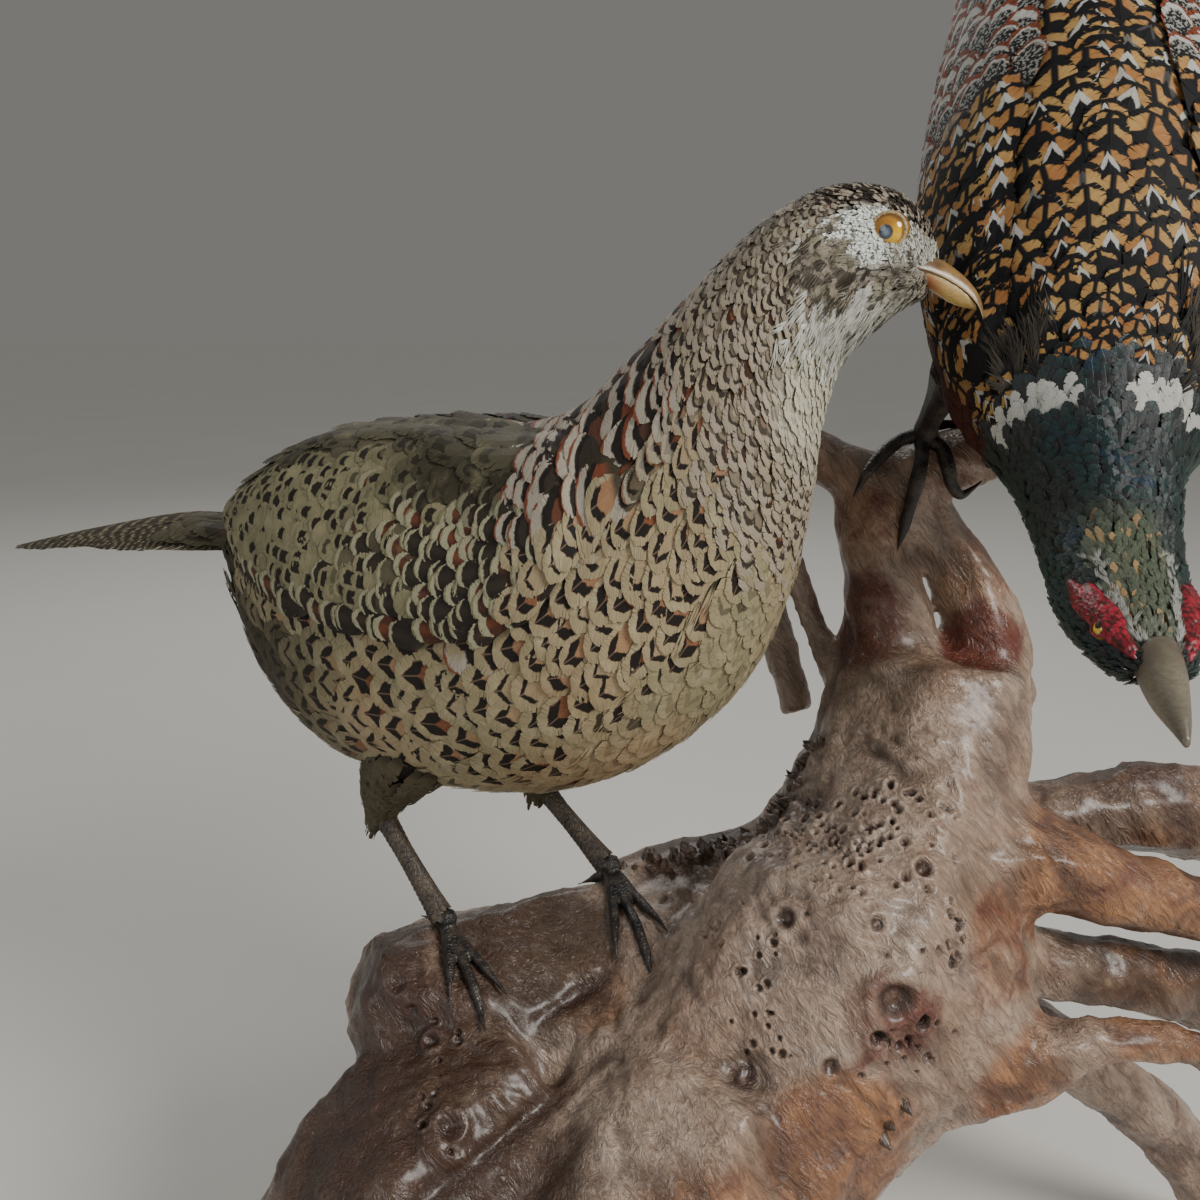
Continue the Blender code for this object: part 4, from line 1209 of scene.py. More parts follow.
class CockColours(bpy.types.PropertyGroup):
    """The cock's plumage colours."""

    gold: hue("Gold", "Ochre mantle", 172, 138, 84)
    orange: hue("Orange", "Warmer mantle feathers", 156, 106, 60)
    chestnut: hue("Chestnut", "Back and scapulars", 120, 58, 34)
    copper: hue("Copper", "Coppery fringes", 96, 44, 24)
    maroon: hue("Maroon", "Breast", 52, 20, 16)
    black: hue("Black", "Black edges", 17, 16, 18)
    white: hue("White", "Ring and pale arrows", 178, 177, 170)
    slate_green: hue("Dark crown", "Dark streaks of the crown", 40, 46, 34)
    grey: hue("Grey", "Down and flight feathers", 78, 72, 64)
    buff: hue("Buff", "Tail ground and wing bars", 164, 134, 92)
    green: hue("Green", "Sheen of the neck", 10, 42, 42)
    blue: hue("Blue", "Sheen of the throat", 16, 38, 66)
    crown: hue("Crown", "Grey-green crown", 116, 122, 100)


class RootFinish(bpy.types.PropertyGroup):
    """The root's stain and varnish, and how finely it is worked."""

    pale: hue("Pale wood", "Greyish beige wood", 178, 157, 140)
    beige: hue("Beige wood", "Pinkish beige wood", 156, 126, 104)
    orange: hue("Orange wood", "Tan varnished wood", 172, 122, 82)
    red_brown: hue("Red brown", "Stained wood", 114, 72, 52)
    red: hue("Red stain", "Deepest red stain", 104, 40, 30)
    # Dark is the real dark grain, and also the painted shade in the relief's hollows and fine troughs.
    dark: hue("Dark grain", "Dark figure", 56, 38, 29)
    # Knot colours knots and pits, and the painted shade inside the cracks.
    knot: hue("Knot", "Knots and pits", 62, 42, 33)
    stain: hue("Stain", "Old brown stain", 66, 46, 28)
    voxel: metres("Surface grain", "Coarsest step of the root's surface", 0.0030)
    coat: bpy.props.FloatProperty(
        name="Varnish", description="Weight of the clear coat", default=0.32, min=0.0, max=1.0,
        subtype="FACTOR",
    )


class CoatSizes(bpy.types.PropertyGroup):
    """How deep the birds' coats are over their skins."""

    hen_depth: metres("Hen's coat", "Coat over the hen's skin", 0.0042)
    neck_depth: metres("Neck coat", "Coat over the hen's neck and head", 0.0022)
    cock_depth: metres("Cock's coat", "Coat over the cock's skin", 0.0036)


class StageSizes(bpy.types.PropertyGroup):
    """The floor and the camera's place."""

    floor: metres("Floor", "Width of the floor", 60.0)
    camera_height: metres("Camera height", "Camera above the floor", 0.434)
    camera_fall: bpy.props.FloatProperty(
        name="Fall", description="How far the camera looks down", default=math.radians(12.6),
        unit="ROTATION",
    )
    lens: bpy.props.FloatProperty(name="Lens", description="Focal length in mm", default=37.5, min=1.0)


# ---- small helpers for the operators


WING_MARGIN = 7.0  # degrees inside a wing's rim where the body's own feathers end
SIDES = (("l", 1), ("r", -1))


def stations_of(points, form, end, step, turns):
    """For each point, the station and the angle of the nearest place of a grid over a body."""
    p, q = np.meshgrid(np.arange(0, end, step), np.linspace(-math.pi, math.pi, turns)[:-1])
    grid = np.column_stack([p.ravel(), q.ravel()])
    tree = search_tree(form.place(*grid.T))
    return grid[[tree.find(point)[1] for point in points]].T


def near_eye(p, q, reach):
    """Which places on the hen's head lie within a reach, in cm, of either eye."""
    spots = HEN.place(p, q)
    away = [np.linalg.norm(spots - centre_of(node), axis=-1) for node in ("eye_l", "eye_r")]
    return np.minimum(*away) < reach * CM


def folded(q):
    """The angle from the back, without its side, in degrees."""
    return np.degrees(np.abs((q + math.pi) % math.tau - math.pi))


def under_wing(p, q, rows):
    """Whether a place on a body lies beneath its folded wing, well inside its rim."""
    stations = [row[0] for row in rows]
    index = np.interp(p, stations, np.arange(len(rows)))
    middle, half = np.moveaxis(smooth_rows(rows, index)[..., 1:], -1, 0)
    inside = (p > stations[0]) & (p < stations[-1])
    return inside & (np.abs(folded(q) - middle) < half - WING_MARGIN)


def ripple_of(points, scale):
    """A smooth random value for each point, from -1 to 1."""
    return np.array([noise.noise(Vector(point) * scale) for point in points])


# ---- the hen's coat


HEN_LINES = 40
MANTLE_LINES = 28
NECK_LINES = 54
HEAD_LINES = 96
FACE_LINES = 150
HEAD_PLUMES = (  # name, finish, rows of (s, u, spread, count), length, width, crown and warm shares, lean
    ("ear_plumes", "hen_head", ((12.0, 12.7, 0.34, 110), (12.5, 12.1, 0.26, 80)),
     1.25, 0.30, 0.75, 0.9, 14),
    ("ear_tufts", "hen_body", ((12.6, 12.0, 0.14, 34), (12.3, 11.7, 0.12, 26)),
     0.95, 0.26, 1.9, 0.0, 46),
    ("gape_bristles", "hen_head", ((14.2, 12.15, 0.22, 60), (14.5, 11.75, 0.20, 36)),
     0.36, 0.20, 0.45, 0.8, 8),
    ("throat_plumes", "hen_head", ((12.7, 10.9, 0.45, 120), (11.9, 10.4, 0.5, 100)),
     0.85, 0.30, 0.0, 0.45, 12),
)


def hen_zone(p, q):
    """The shares of mantle, and past 1 of darkness, and of strong marking over the hen's body. The darkness
    of the back and vent is partly their own darker feathers and partly painted shade.
    """
    turn = folded(q)
    mantle = ease(5.9, 6.8, p) * (1 - ease(66, 96, turn)) * (1 - ease(10.0, 10.8, p))
    back = (1 - ease(40, 58, turn)) * (1 - ease(5.6, 6.6, p))
    vent = (1 - ease(3.9, 5.6, p)) * ease(84, 106, turn)
    strong = 1.0 - 0.55 * ease(122, 156, turn) - 0.75 * (1 - ease(0.6, 2.2, p))
    strong = strong - 0.35 * back * (1 - ease(4.5, 6.0, p))
    strong = strong - 0.28 * ease(5.6, 7.8, p) * ease(88, 134, turn)
    # Partly painted shade: the back and the vent are darkened beyond their feathers' own colour.
    dark = np.maximum(0.75 * back, 0.72 * vent)
    return np.where(dark > 0.05, 1 + dark, mantle), np.clip(strong, 0.0, 1.0)


def on_mantle(p, q):
    """Whether places on the hen's body lie under its large mantle feathers."""
    return (p > 6.3 + 0.4 * (folded(q) / 80) ** 2) & (p < 9.5) & (folded(q) < 94 - 7 * (p - 6.3))


def over_wing_front(p, q):
    """The share of their rise that feathers in front of the hen's folded wing have, to lie over it."""
    middle, half = HEN_WING[-2][1:]
    beside = np.exp(-((folded(q) - middle) / (half + 6)) ** 4)
    return beside * np.exp(-((p - 7.9) / 0.8) ** 2)


def face_zones(p, q):
    """The shares of dark crown, of pale velvet face and of warm chin at places on the hen's head."""
    s, _, u = HEN.own_place(p, q)
    brow = np.interp(s, [10.9, 12.4, 13.5, 14.1, 14.9], [13.5, 13.95, 14.02, 13.6, 12.7])
    crown = ease(-0.10, 0.14, u - brow)
    cheek = 1 - ease(0.86, 1.06, np.hypot((s - 12.95) / 1.45, (u - 13.12) / 0.90))
    lore = 1 - ease(0.8, 1.1, np.hypot((s - 14.35) / 0.75, (u - 12.75) / 0.75))
    warm = ease(12.6, 11.8, u) * ease(11.8, 12.8, s)
    return crown, np.clip(cheek + lore, 0, 1) * (1 - crown), np.maximum(warm, 0.7 * lore)


class PHEASANT_OT_hen_body_feathers(bpy.types.Operator):
    """Trunk feathers of the hen, from the rump to the base of the neck, and its loose soft plumes"""

    bl_idname = "pheasant.hen_body_feathers"
    bl_label = "Hen's body feathers"

    def execute(self, context):
        rng = seeded("hen body")
        self.trunk(rng)
        self.mantle(rng)
        self.soft(rng)
        self.tail_coverts(rng)
        return {"FINISHED"}

    def trunk(self, rng):
        spacing = HEN.spacing(HEN_LINES)
        p, q = seed_lines(HEN, HEN_LINES, 9.9, -0.3, lambda p: 0.80 * spacing(p), rng)
        keep = (~under_wing(p, q, HEN_WING) | (p > 7.2)) & ~on_mantle(p, q)
        p, q = p[keep], q[keep]
        gap = np.maximum(spacing(p), 0.35)
        breast = ease(5.0, 7.5, p) * ease(105, 150, folded(q))
        rump = 1 - ease(0.5, 2.5, p)
        width = gap * (1.66 + vary(rng, 0.1, p))
        length = gap * (2.75 + 0.5 * breast + 0.5 * rump + vary(rng, 0.15, p))
        rise = 0.03 + vary(rng, 0.018, p) + 0.03 * rump + 0.20 * over_wing_front(p, q)
        depth = np.interp(p, [0, 2, 8, 10], [0.22, 0.36, 0.36, 0.24])
        lean = sway(rng, 8, p)
        grow("hen_body", "hen_body_feathers", HEN, p, q, width, length,
             vanes(8, BODY_BARBS, 0.06, 0.14), rng, depth, rise, lean, 0.02, hen_zone(p, q))

    def mantle(self, rng):
        """Larger bowed feathers over the shoulders, and loose dark ones along the back."""
        spacing = HEN.spacing(MANTLE_LINES)
        p, q = seed_lines(HEN, MANTLE_LINES, 10.7, 5.6, lambda p: 0.74 * spacing(p), rng)
        keep = on_mantle(p, q)
        p, q = p[keep], q[keep]
        gap = spacing(p)
        grow("hen_body", "hen_mantle_feathers", HEN, p, q, gap * 1.5, gap * 2.3,
             vanes(8, BODY_BARBS, 0.08, 0.12), rng, 0.3,
             0.06 + vary(rng, 0.02, p) + 0.20 * over_wing_front(p, q),
             sway(rng, 8, p), 0.04, (1, 1))
        count = 130
        p, q = rng.uniform(2.4, 6.7, count), np.radians(rng.uniform(-48, 48, count))
        # Their darkness, 1.7 to 2, is partly their own dark colour and partly painted shade on the back.
        grow("hen_body", "hen_back_feathers", HEN, p, q, 1.0, rng.uniform(2.0, 3.0, count),
             vanes(6, BODY_BARBS, 0.12, 0.25), rng, 0.25, 0.10 + 0.26 * rng.random(count),
             sway(rng, 16, p), 0.05, (rng.uniform(1.7, 2.0, count), 0.2))

    def soft(self, rng):
        """Loose hair-like plumes on the belly and the flanks' lower edge."""
        count = 900
        p, q = rng.uniform(1.6, 9.0, count), rng.uniform(-math.pi, math.pi, count)
        keep = folded(q) > 128
        p, q = p[keep], q[keep]
        grow("hen_body", "hen_soft_feathers", HEN, p, q, 0.8, 1.5, wisps(6), rng, 0.2,
             0.04 + 0.04 * rng.random(len(p)), sway(rng, 14, p), zone=(1, 0))

    def tail_coverts(self, rng):
        """Long feathers over the tail's base, and loose dark ones that hang beneath it."""
        count = 44
        q = rng.uniform(-1.5, 1.5, count)
        p = 1.06 - 0.10 * rng.random(count)
        grow("hen_body", "hen_tail_coverts", HEN_TAIL, p, q, 1.5, rng.uniform(3.4, 6.0, count),
             vanes(6, BODY_BARBS, 0.10, 0.2), rng, 0.1, 0.10 + 0.25 * rng.random(count),
             sway(rng, 5, p), 0.1, (1.6, 0.3))
        count = 150
        p = rng.uniform(0.3, 2.2, count)
        q = np.radians(rng.uniform(84, 180, count)) * rng.choice([-1, 1], count)
        # Their darkness is partly their own dark colour and partly painted shade under the tail.
        grow("hen_body", "hen_vent_feathers", HEN, p, q, 0.8, rng.uniform(1.6, 2.6, count),
             vanes(6, LOOSE_BARBS, 0.3, 0.4), rng, 0.2, 0.12 + 0.30 * rng.random(count),
             sway(rng, 16, p), 0.05, (1.95, 0.0))


class PHEASANT_OT_hen_neck_feathers(bpy.types.Operator):
    """Neck feathers of the hen, small rounded scallops in rows"""

    bl_idname = "pheasant.hen_neck_feathers"
    bl_label = "Hen's neck feathers"

    def execute(self, context):
        rng = seeded("hen neck")
        spacing = HEN.spacing(NECK_LINES)
        p, q = seed_lines(HEN, NECK_LINES, 12.7, 9.5, lambda p: 0.84 * spacing(p), rng)
        keep = ~on_mantle(p, q)
        p, q = p[keep], q[keep]
        gap, turn = spacing(p), folded(q)
        width = gap * (1.75 + vary(rng, 0.12, p))
        length = gap * (2.8 + 0.5 * ease(110, 160, turn) + vary(rng, 0.2, p))
        rise = 0.02 + vary(rng, 0.02, p)
        nape = (1 - ease(20, 60, turn)) * ease(10.4, 11.5, p)
        throat = 0.85 * ease(98, 130, turn) * ease(10.4, 11.4, p)
        lean = sway(rng, 9, p)
        grow("hen_neck", "hen_neck_feathers", HEN, p, q, width, length,
             vanes(6, LOOSE_BARBS, 0.15, 0.2), rng, 0.24, rise, lean, 0.03, (nape, throat))
        return {"FINISHED"}


class PHEASANT_OT_hen_head_feathers(bpy.types.Operator):
    """Feathers of the hen's head: streaked crown, velvet face, ear plumes, chin and bristles"""

    bl_idname = "pheasant.hen_head_feathers"
    bl_label = "Hen's head feathers"

    def execute(self, context):
        rng = seeded("hen head")
        self.crown_and_chin(rng)
        self.face(rng)
        self.plumes(rng)
        return {"FINISHED"}

    def crown_and_chin(self, rng):
        spacing = HEN.spacing(HEAD_LINES)
        p, q = seed_lines(HEN, HEAD_LINES, 17.2, 11.9, lambda p: 0.13 + 0.5 * spacing(p), rng, 0.3)
        crown, face, warm = face_zones(p, q)
        s, _, u = HEN.own_place(p, q)
        inside_bill = (s > 14.55) & (u < 12.3) & (u > 11.6)
        keep = ~near_eye(p, q, 0.62) & (face < 0.6) & ~inside_bill
        p, q, crown, warm = p[keep], q[keep], crown[keep], warm[keep]
        pale = ease(11.9, 11.0, u[keep]) * (1 - crown)
        width = 0.17 * (1 + vary(rng, 0.15, p))
        length = (0.42 + 0.3 * (1 - crown)) * (1 + vary(rng, 0.15, p))
        length = length * (1 - 0.45 * ease(14.6, 16.0, p))
        grow("hen_head", "hen_head_feathers", HEN, p, q, width, length,
             vanes(6, SMALL_BARBS, 0.2, 0.3), rng, 0.10, 0.02 + vary(rng, 0.015, p),
             sway(rng, 14, p),
             zone=(np.maximum(crown, 0.3 * warm), 0.55 + 0.4 * warm - 0.5 * pale))

    def face(self, rng):
        """Velvet of tiny feathers round the eye and down to the bill."""
        p, q = seed_lines(HEN, FACE_LINES, 17.0, 12.0, lambda p: 0.07, rng, 0.4)
        _, face, warm = face_zones(p, q)
        keep = (face > 0.25) & ~near_eye(p, q, 0.56)
        p, q, warm = p[keep], q[keep], warm[keep]
        width = 0.12 * (1 + vary(rng, 0.2, p))
        length = 0.22 * (1 + vary(rng, 0.2, p))
        grow("hen_head", "hen_face_feathers", HEN, p, q, width, length,
             vanes(6, TINY_BARBS, 0.1, 0.3), rng, 0.05, 0.012 + vary(rng, 0.008, p),
             sway(rng, 22, p), zone=(0.0, 0.7 * warm))

    def plumes(self, rng):
        """Soft plumes over the ears, a dark tuft beneath them, white ones at the throat and bristles."""
        p, q = np.meshgrid(np.arange(10.0, 16.9, 0.1), np.radians(np.arange(20, 170, 2.0)))
        grid_p, grid_q = p.ravel(), q.ravel()
        grid_s, _, grid_u = HEN.own_place(grid_p, grid_q)
        for name, finish, rows, length, width, crown, warm, turn in HEAD_PLUMES:
            found = []
            for s, u, spread, count in rows:
                for ds, du in rng.normal(0, spread, (count, 2)):
                    found.append(np.argmin((grid_s - s - ds) ** 2 + (grid_u - u - du) ** 2))
            for side, sign in SIDES:
                p, q = grid_p[found], sign * grid_q[found]
                lean = sign * np.radians(turn) + sway(rng, 18, p)
                dark = np.clip(crown + vary(rng, 0.3, p) * (crown > 0), 0, max(1, crown))
                grow(finish, f"hen_{name}_{side}", HEN, p, q, width, length * rng.uniform(0.7, 1.1, len(p)),
                     wisps(6, spread=0.7, half=0.16), rng, 0.06,
                     0.03 + 0.09 * rng.random(len(p)), lean, zone=(dark, warm))


class PHEASANT_OT_hen_wing_feathers(bpy.types.Operator):
    """Coverts, scapulars and barred quills of the hen's two folded wings"""

    bl_idname = "pheasant.hen_wing_feathers"
    bl_label = "Hen's wing feathers"

    def execute(self, context):
        for side, sign in SIDES:
            form = WingForm(HEN, HEN_WING, sign, HEN_WING_THICK)
            rng = seeded("hen wing", side)
            self.coverts(form, side, sign, rng)
            self.quills(form, side, sign)
            self.scapulars(form, side, sign, rng)
        return {"FINISHED"}

    def covert_gap(self, p):
        return np.interp(p, [0, 1.5, 4, 6], [0.70, 0.74, 0.62, 0.54])

    def coverts(self, form, side, sign, rng):
        """The rows that cover the wing, and the bowed ones over its front."""
        span = (-1.06, 1.05)
        p, q = seed_lines(form, 14, 6.9, 0.6, lambda p: 0.88 * self.covert_gap(p), rng, 0.2, span)
        gap = self.covert_gap(p)
        width = gap * (1.70 + vary(rng, 0.1, p))
        length = gap * (2.5 + 1.0 * (1 - ease(1.5, 4.0, p)))
        rise = 0.03 + vary(rng, 0.02, p)
        lean = sign * np.radians(5) + sway(rng, 7, p)
        # Darker towards the shoulder and the top of the wing: partly their own colour, partly painted shade.
        shoulder = ease(3.2, 4.0, p) * ease(0.15, -0.2, q)
        upper = 0.9 * ease(-0.20, -0.66, q)
        front = ease(3.3, 4.1, p + vary(rng, 0.3, p)) * ease(-0.25, 0.0, q)
        rim = ease(0.80, 0.92, q)
        templates = vanes(8, BODY_BARBS, 0.06, 0.14)
        keep = p < 5.6
        grow("hen_wing", f"hen_wing_coverts_{side}", form, p[keep], q[keep], width[keep], length[keep],
             templates, rng, 0.24, rise[keep], lean[keep], 0.02,
             (-np.maximum(front, rim)[keep], np.maximum(shoulder, upper)[keep]))
        p, q = seed_lines(form, 7, 6.9, 5.1, lambda p: 0.60, rng, 0.12, span)
        grow("hen_body", f"hen_wing_front_{side}", form, p, q, 1.1, 1.9, templates, rng, 0.24,
             0.06 + vary(rng, 0.02, p),
             sign * np.radians(5) + sway(rng, 7, p), 0.03, (q < 0.5, 1))

    def quills(self, form, side, sign):
        """The long flight feathers, whose barred edges show below the coverts' hind end."""
        f = np.linspace(0, 1, 9)
        grow("hen_wing", f"hen_wing_quills_{side}", form, 2.9 - 1.7 * f, 1.0 - 0.45 * f, 0.9, 6.0 - 2.0 * f,
             vanes(3, LONG_BARBS, 0.08, 0.03), seeded("hen quills", side), 0.22,
             0.03 - 0.02 * f, -sign * np.radians(3.0), 0.05, (1, 0))

    def scapulars(self, form, side, sign, rng):
        """Large dark feathers that lie over the top of the wing."""
        count = 34
        p = np.linspace(5.2, 1.8, count)
        q = -1.0 + 0.6 * rng.random(count) * np.linspace(1.2, 0.5, count)
        # Second near 1 darkens them, partly as painted shade along the top of the wing.
        grow("hen_wing", f"hen_scapulars_{side}", form, p, q, 1.2, rng.uniform(2.4, 3.4, count),
             vanes(6, BODY_BARBS, 0.12, 0.18), rng, 0.2, 0.06 + 0.16 * rng.random(count),
             sign * np.radians(-3) + sway(rng, 10, p), 0.05,
             (0, rng.uniform(0.75, 1.0, count)))


TAIL_PAIRS = 8


class PHEASANT_OT_hen_tail_feathers(bpy.types.Operator):
    """The hen's long folded tail feathers, in a low roof"""

    bl_idname = "pheasant.hen_tail_feathers"
    bl_label = "Hen's tail feathers"

    def execute(self, context):
        rng = seeded("hen tail")
        f = np.linspace(1, 0, TAIL_PAIRS)
        sides = np.concatenate([-f, f])
        count = len(sides)
        p = 1.02 + rng.normal(0, 0.01, count)
        length = 20.2 - 10.6 * np.abs(sides) ** 1.1 + rng.normal(0, 0.3, count)
        lift = 0.35 * (1 - np.abs(sides)) + 0.02 * np.arange(count) / TAIL_PAIRS
        grow("hen_tail", "hen_tail_feathers", HEN_TAIL, p, sides * 1.35, 2.0, length,
             vanes(5, LONG_BARBS, 0.15, 0.05), rng, 0.1 - lift, lift * 0.6,
             np.radians(2.2) * sides, 0.07, nodes=("tail",))
        return {"FINISHED"}


# ---- skins, legs, bills and eyes


class PHEASANT_OT_hen_skin(bpy.types.Operator):
    """One skin over the hen's head, neck, trunk, wings and thighs, inside their coat"""

    bl_idname = "pheasant.hen_skin"
    bl_label = "Hen's skin"

    def execute(self, context):
        sizes = context.scene.coat_sizes
        flesh = ("head", "neck", "trunk", "wing_l", "wing_r", "thigh_l", "thigh_r")
        skin = remeshed(merged_copy("hen_skin", *flesh), 0.0028, 8)
        points, normals = points_of(skin), normals_of(skin)
        p, q = stations_of(points, HEN, 17.6, 0.2, 91)
        head = ease(9.0, 13.0, p)
        depth = sizes.hen_depth * (1 - head) + sizes.neck_depth * head
        face = face_zones(p, q)[1] * ease(12.0, 12.4, p)
        depth = depth * (1 - 0.65 * np.maximum(face, ease(13.6, 14.6, p)))
        set_points(skin, points - normals * depth[:, None])
        # The second share is random painted shadow on the down between the feathers.
        set_marks(skin, np.column_stack([face, ripple_of(points, 90) * 0.5 + 0.5, head]))
        finish_piece(skin, "hen_skin", *flesh)
        return {"FINISHED"}


LEG_POINTS = {  # (s, w, u) of the thigh's top, its middle and the heel, in cm
    "r": ((-2.8, -3.1, -5.2), (-4.7, -3.1, -7.2), (-5.4, -3.0, -8.6)),
    "l": ((0.2, 3.0, -4.6), (-1.0, 3.0, -7.0), (-1.6, 3.0, -8.8)),
}
THIGH_RADII = (2.1, 1.35, 0.7)
SHANK_RADII = (0.40, 0.34, 0.44)


class PHEASANT_OT_hen_legs(bpy.types.Operator):
    """The hen's thigh feathers, scaled shanks and clawed feet"""

    bl_idname = "pheasant.hen_legs"
    bl_label = "Hen's legs"

    def execute(self, context):
        for side, places in LEG_POINTS.items():
            rng = seeded("hen thigh", side)
            points = [HEN.point(*place) for place in places]
            form = TubeForm(points[::-1], THIGH_RADII[::-1])
            p, q = seed_lines(form, 20, 0.98, 0.06, lambda p: 0.34 + 0.2 * p, rng, 0.2)
            grow("hen_body", f"hen_thigh_feathers_{side}", form, p, q, 0.7 + 0.4 * p, 1.2 + 0.7 * p,
                 vanes(5, LOOSE_BARBS, 0.3, 0.4), rng, 0.28, 0.03 + vary(rng, 0.05, p),
                 sway(rng, 8, p), zone=(1.6, 0.2))
            shank = remeshed(merged_copy(f"hen_shank_{side}", f"shank_{side}"), 0.0007, 5)
            finish_piece(shank, "leg", f"shank_{side}")
            foot = remeshed(merged_copy(f"hen_foot_{side}", f"foot_{side}"), 0.0006, 4)
            finish_piece(foot, "toe", f"foot_{side}")
            self.scutes(side, points[-1], rng)
        return {"FINISHED"}

    def scutes(self, side, heel, rng):
        """Overlapping plates round a shank."""
        ankle = 2 * centre_of(f"shank_{side}") - heel
        ankle[2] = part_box(f"shank_{side}")[0][2] + 0.002
        form = TubeForm([ankle, (ankle + heel) / 2, heel], SHANK_RADII)
        p, q = seed_lines(form, 10, 0.96, 0.04, lambda p: 0.22, rng, 0.04)
        grow("leg", f"hen_shank_scales_{side}", form, p, q, 0.34, 0.36,
             vanes(3, TINY_BARBS, 0.0, 0.0), rng, 0.03, 0.035, camber=0.02)


BILL_UPPER = [  # s, then half width, rim height and ridge height, in cm
    (13.70, 1.30, 12.30, 12.75),
    (14.10, 1.20, 12.24, 12.80),
    (14.50, 1.02, 12.16, 12.68),
    (14.85, 0.84, 12.06, 12.55),
    (15.20, 0.66, 11.92, 12.38),
    (15.60, 0.49, 11.69, 12.09),
    (15.95, 0.36, 11.42, 11.78),
    (16.25, 0.24, 11.08, 11.38),
    (16.43, 0.09, 10.66, 10.90),
]
BILL_LOWER = [  # the same, with the keel's height last
    (13.80, 1.14, 12.24, 11.95),
    (14.20, 1.02, 12.17, 11.82),
    (14.60, 0.86, 12.10, 11.62),
    (15.00, 0.68, 11.95, 11.38),
    (15.35, 0.53, 11.77, 11.16),
    (15.70, 0.40, 11.55, 11.02),
    (16.00, 0.28, 11.28, 10.96),
    (16.20, 0.12, 11.06, 10.92),
]
BILL_SIDES = 32
NOSTRIL = (14.98, 0.50, 12.30)
NOSTRIL_REACH = 0.15


class PHEASANT_OT_hen_bill(bpy.types.Operator):
    """The hen's upper and lower bill, with its nostrils"""

    bl_idname = "pheasant.hen_bill"
    bl_label = "Hen's bill"

    def execute(self, context):
        for part, rows in (("upper", BILL_UPPER), ("lower", BILL_LOWER)):
            t = np.linspace(0, len(rows) - 1, 60)
            s, half, rim, far = np.moveaxis(smooth_rows(rows, t), -1, 0)
            turn = np.linspace(0, math.tau, BILL_SIDES, endpoint=False) + math.pi / BILL_SIDES
            across, over = np.cos(turn), np.sin(turn)
            back = np.where(over < 0, 0.16, 1.0)
            w = half[:, None] * np.sign(across) * np.abs(across) ** 0.85
            u = rim[:, None] + (far - rim)[:, None] * np.abs(over) ** 1.15 * np.sign(over) * back
            bill = loft(f"hen_bill_{part}", HEN.point(s[:, None] + 0 * w, w, u))
            points, normals = points_of(bill), normals_of(bill)
            reach = np.repeat((s - s[0]) / (s[-1] - s[0]), BILL_SIDES)
            # A pale band along the bill's edge, partly a painted highlight.
            rim_highlight_share = np.tile(np.exp(-(over / 0.22) ** 2), len(t))
            dark = ease(0.86, 1.0, reach) * 0.45
            if part == "upper":
                # Each nostril is sunk a little and darkened with painted shade.
                for side in (-1, 1):
                    hole = HEN.point(NOSTRIL[0], side * NOSTRIL[1], NOSTRIL[2])
                    away = np.linalg.norm((points - hole) * [1, 1, 1.5], axis=1) / (NOSTRIL_REACH * CM)
                    points = points - normals * (0.08 * CM * np.exp(-away ** 2))[:, None]
                    dark = dark + np.exp(-(away * 1.1) ** 2)
                rooted = ease(0.62, 0.40, reach)
            else:
                rooted = ease(0.66, 0.36, reach) * (1 - 0.6 * rim_highlight_share)
            grown = ripple_of(points, 700)
            set_points(bill, points + normals * (grown * 0.012 * CM)[:, None])
            set_marks(bill, np.column_stack([np.clip(dark, 0, 1), rim_highlight_share, rooted]))
            finish_piece(bill, f"bill_{part}", f"bill_{part}")
        return {"FINISHED"}


def facing(axis):
    """The turn that points a shape's own Z along an axis."""
    return Vector(axis).to_track_quat("Z", "Y").to_euler()


def named_shape(name):
    """The shape just added, with a name and with its place and turn in its mesh."""
    obj = bpy.context.object
    obj.name = obj.data.name = name
    bpy.ops.object.transform_apply(location=True, rotation=True, scale=True)
    obj.data.shade_smooth()
    return obj, points_of(obj)


def make_eye(name, centre, axis, radius, finish, *nodes):
    """A glass eye: a ball whose marks run out from the middle of its pupil."""
    bpy.ops.object.select_all(action="DESELECT")
    bpy.ops.mesh.primitive_uv_sphere_add(segments=48, ring_count=32, radius=radius, location=centre)
    bpy.context.object.rotation_euler = facing(axis)
    ball, points = named_shape(name)
    away = (points - centre) / radius
    front = np.clip(away @ np.array(axis), -1, 1)
    aside = unit(np.cross(axis, [0, 0, 1.0]))
    up = np.cross(aside, axis)
    turned = np.arctan2(away @ up, away @ aside)
    visible = math.radians(60)
    # The third mark rises up and to the left; the iris's painted light follows it.
    set_marks(ball, np.column_stack([np.arccos(front) / visible, turned, away @ up + 0.6 * (away @ aside)]))
    finish_piece(ball, finish, *nodes)


def make_lid(name, centre, axis, radius, thick, finish):
    """A soft ring of skin round an eye, where the head closes on it."""
    bpy.ops.object.select_all(action="DESELECT")
    bpy.ops.mesh.primitive_torus_add(
        major_segments=48, minor_segments=12, major_radius=radius, minor_radius=thick, location=centre,
        rotation=facing(axis),
    )
    lid, points = named_shape(name)
    wave = ripple_of(points, 900)
    set_points(lid, points + normals_of(lid) * (wave * thick * 0.35)[:, None])
    finish_piece(lid, finish)


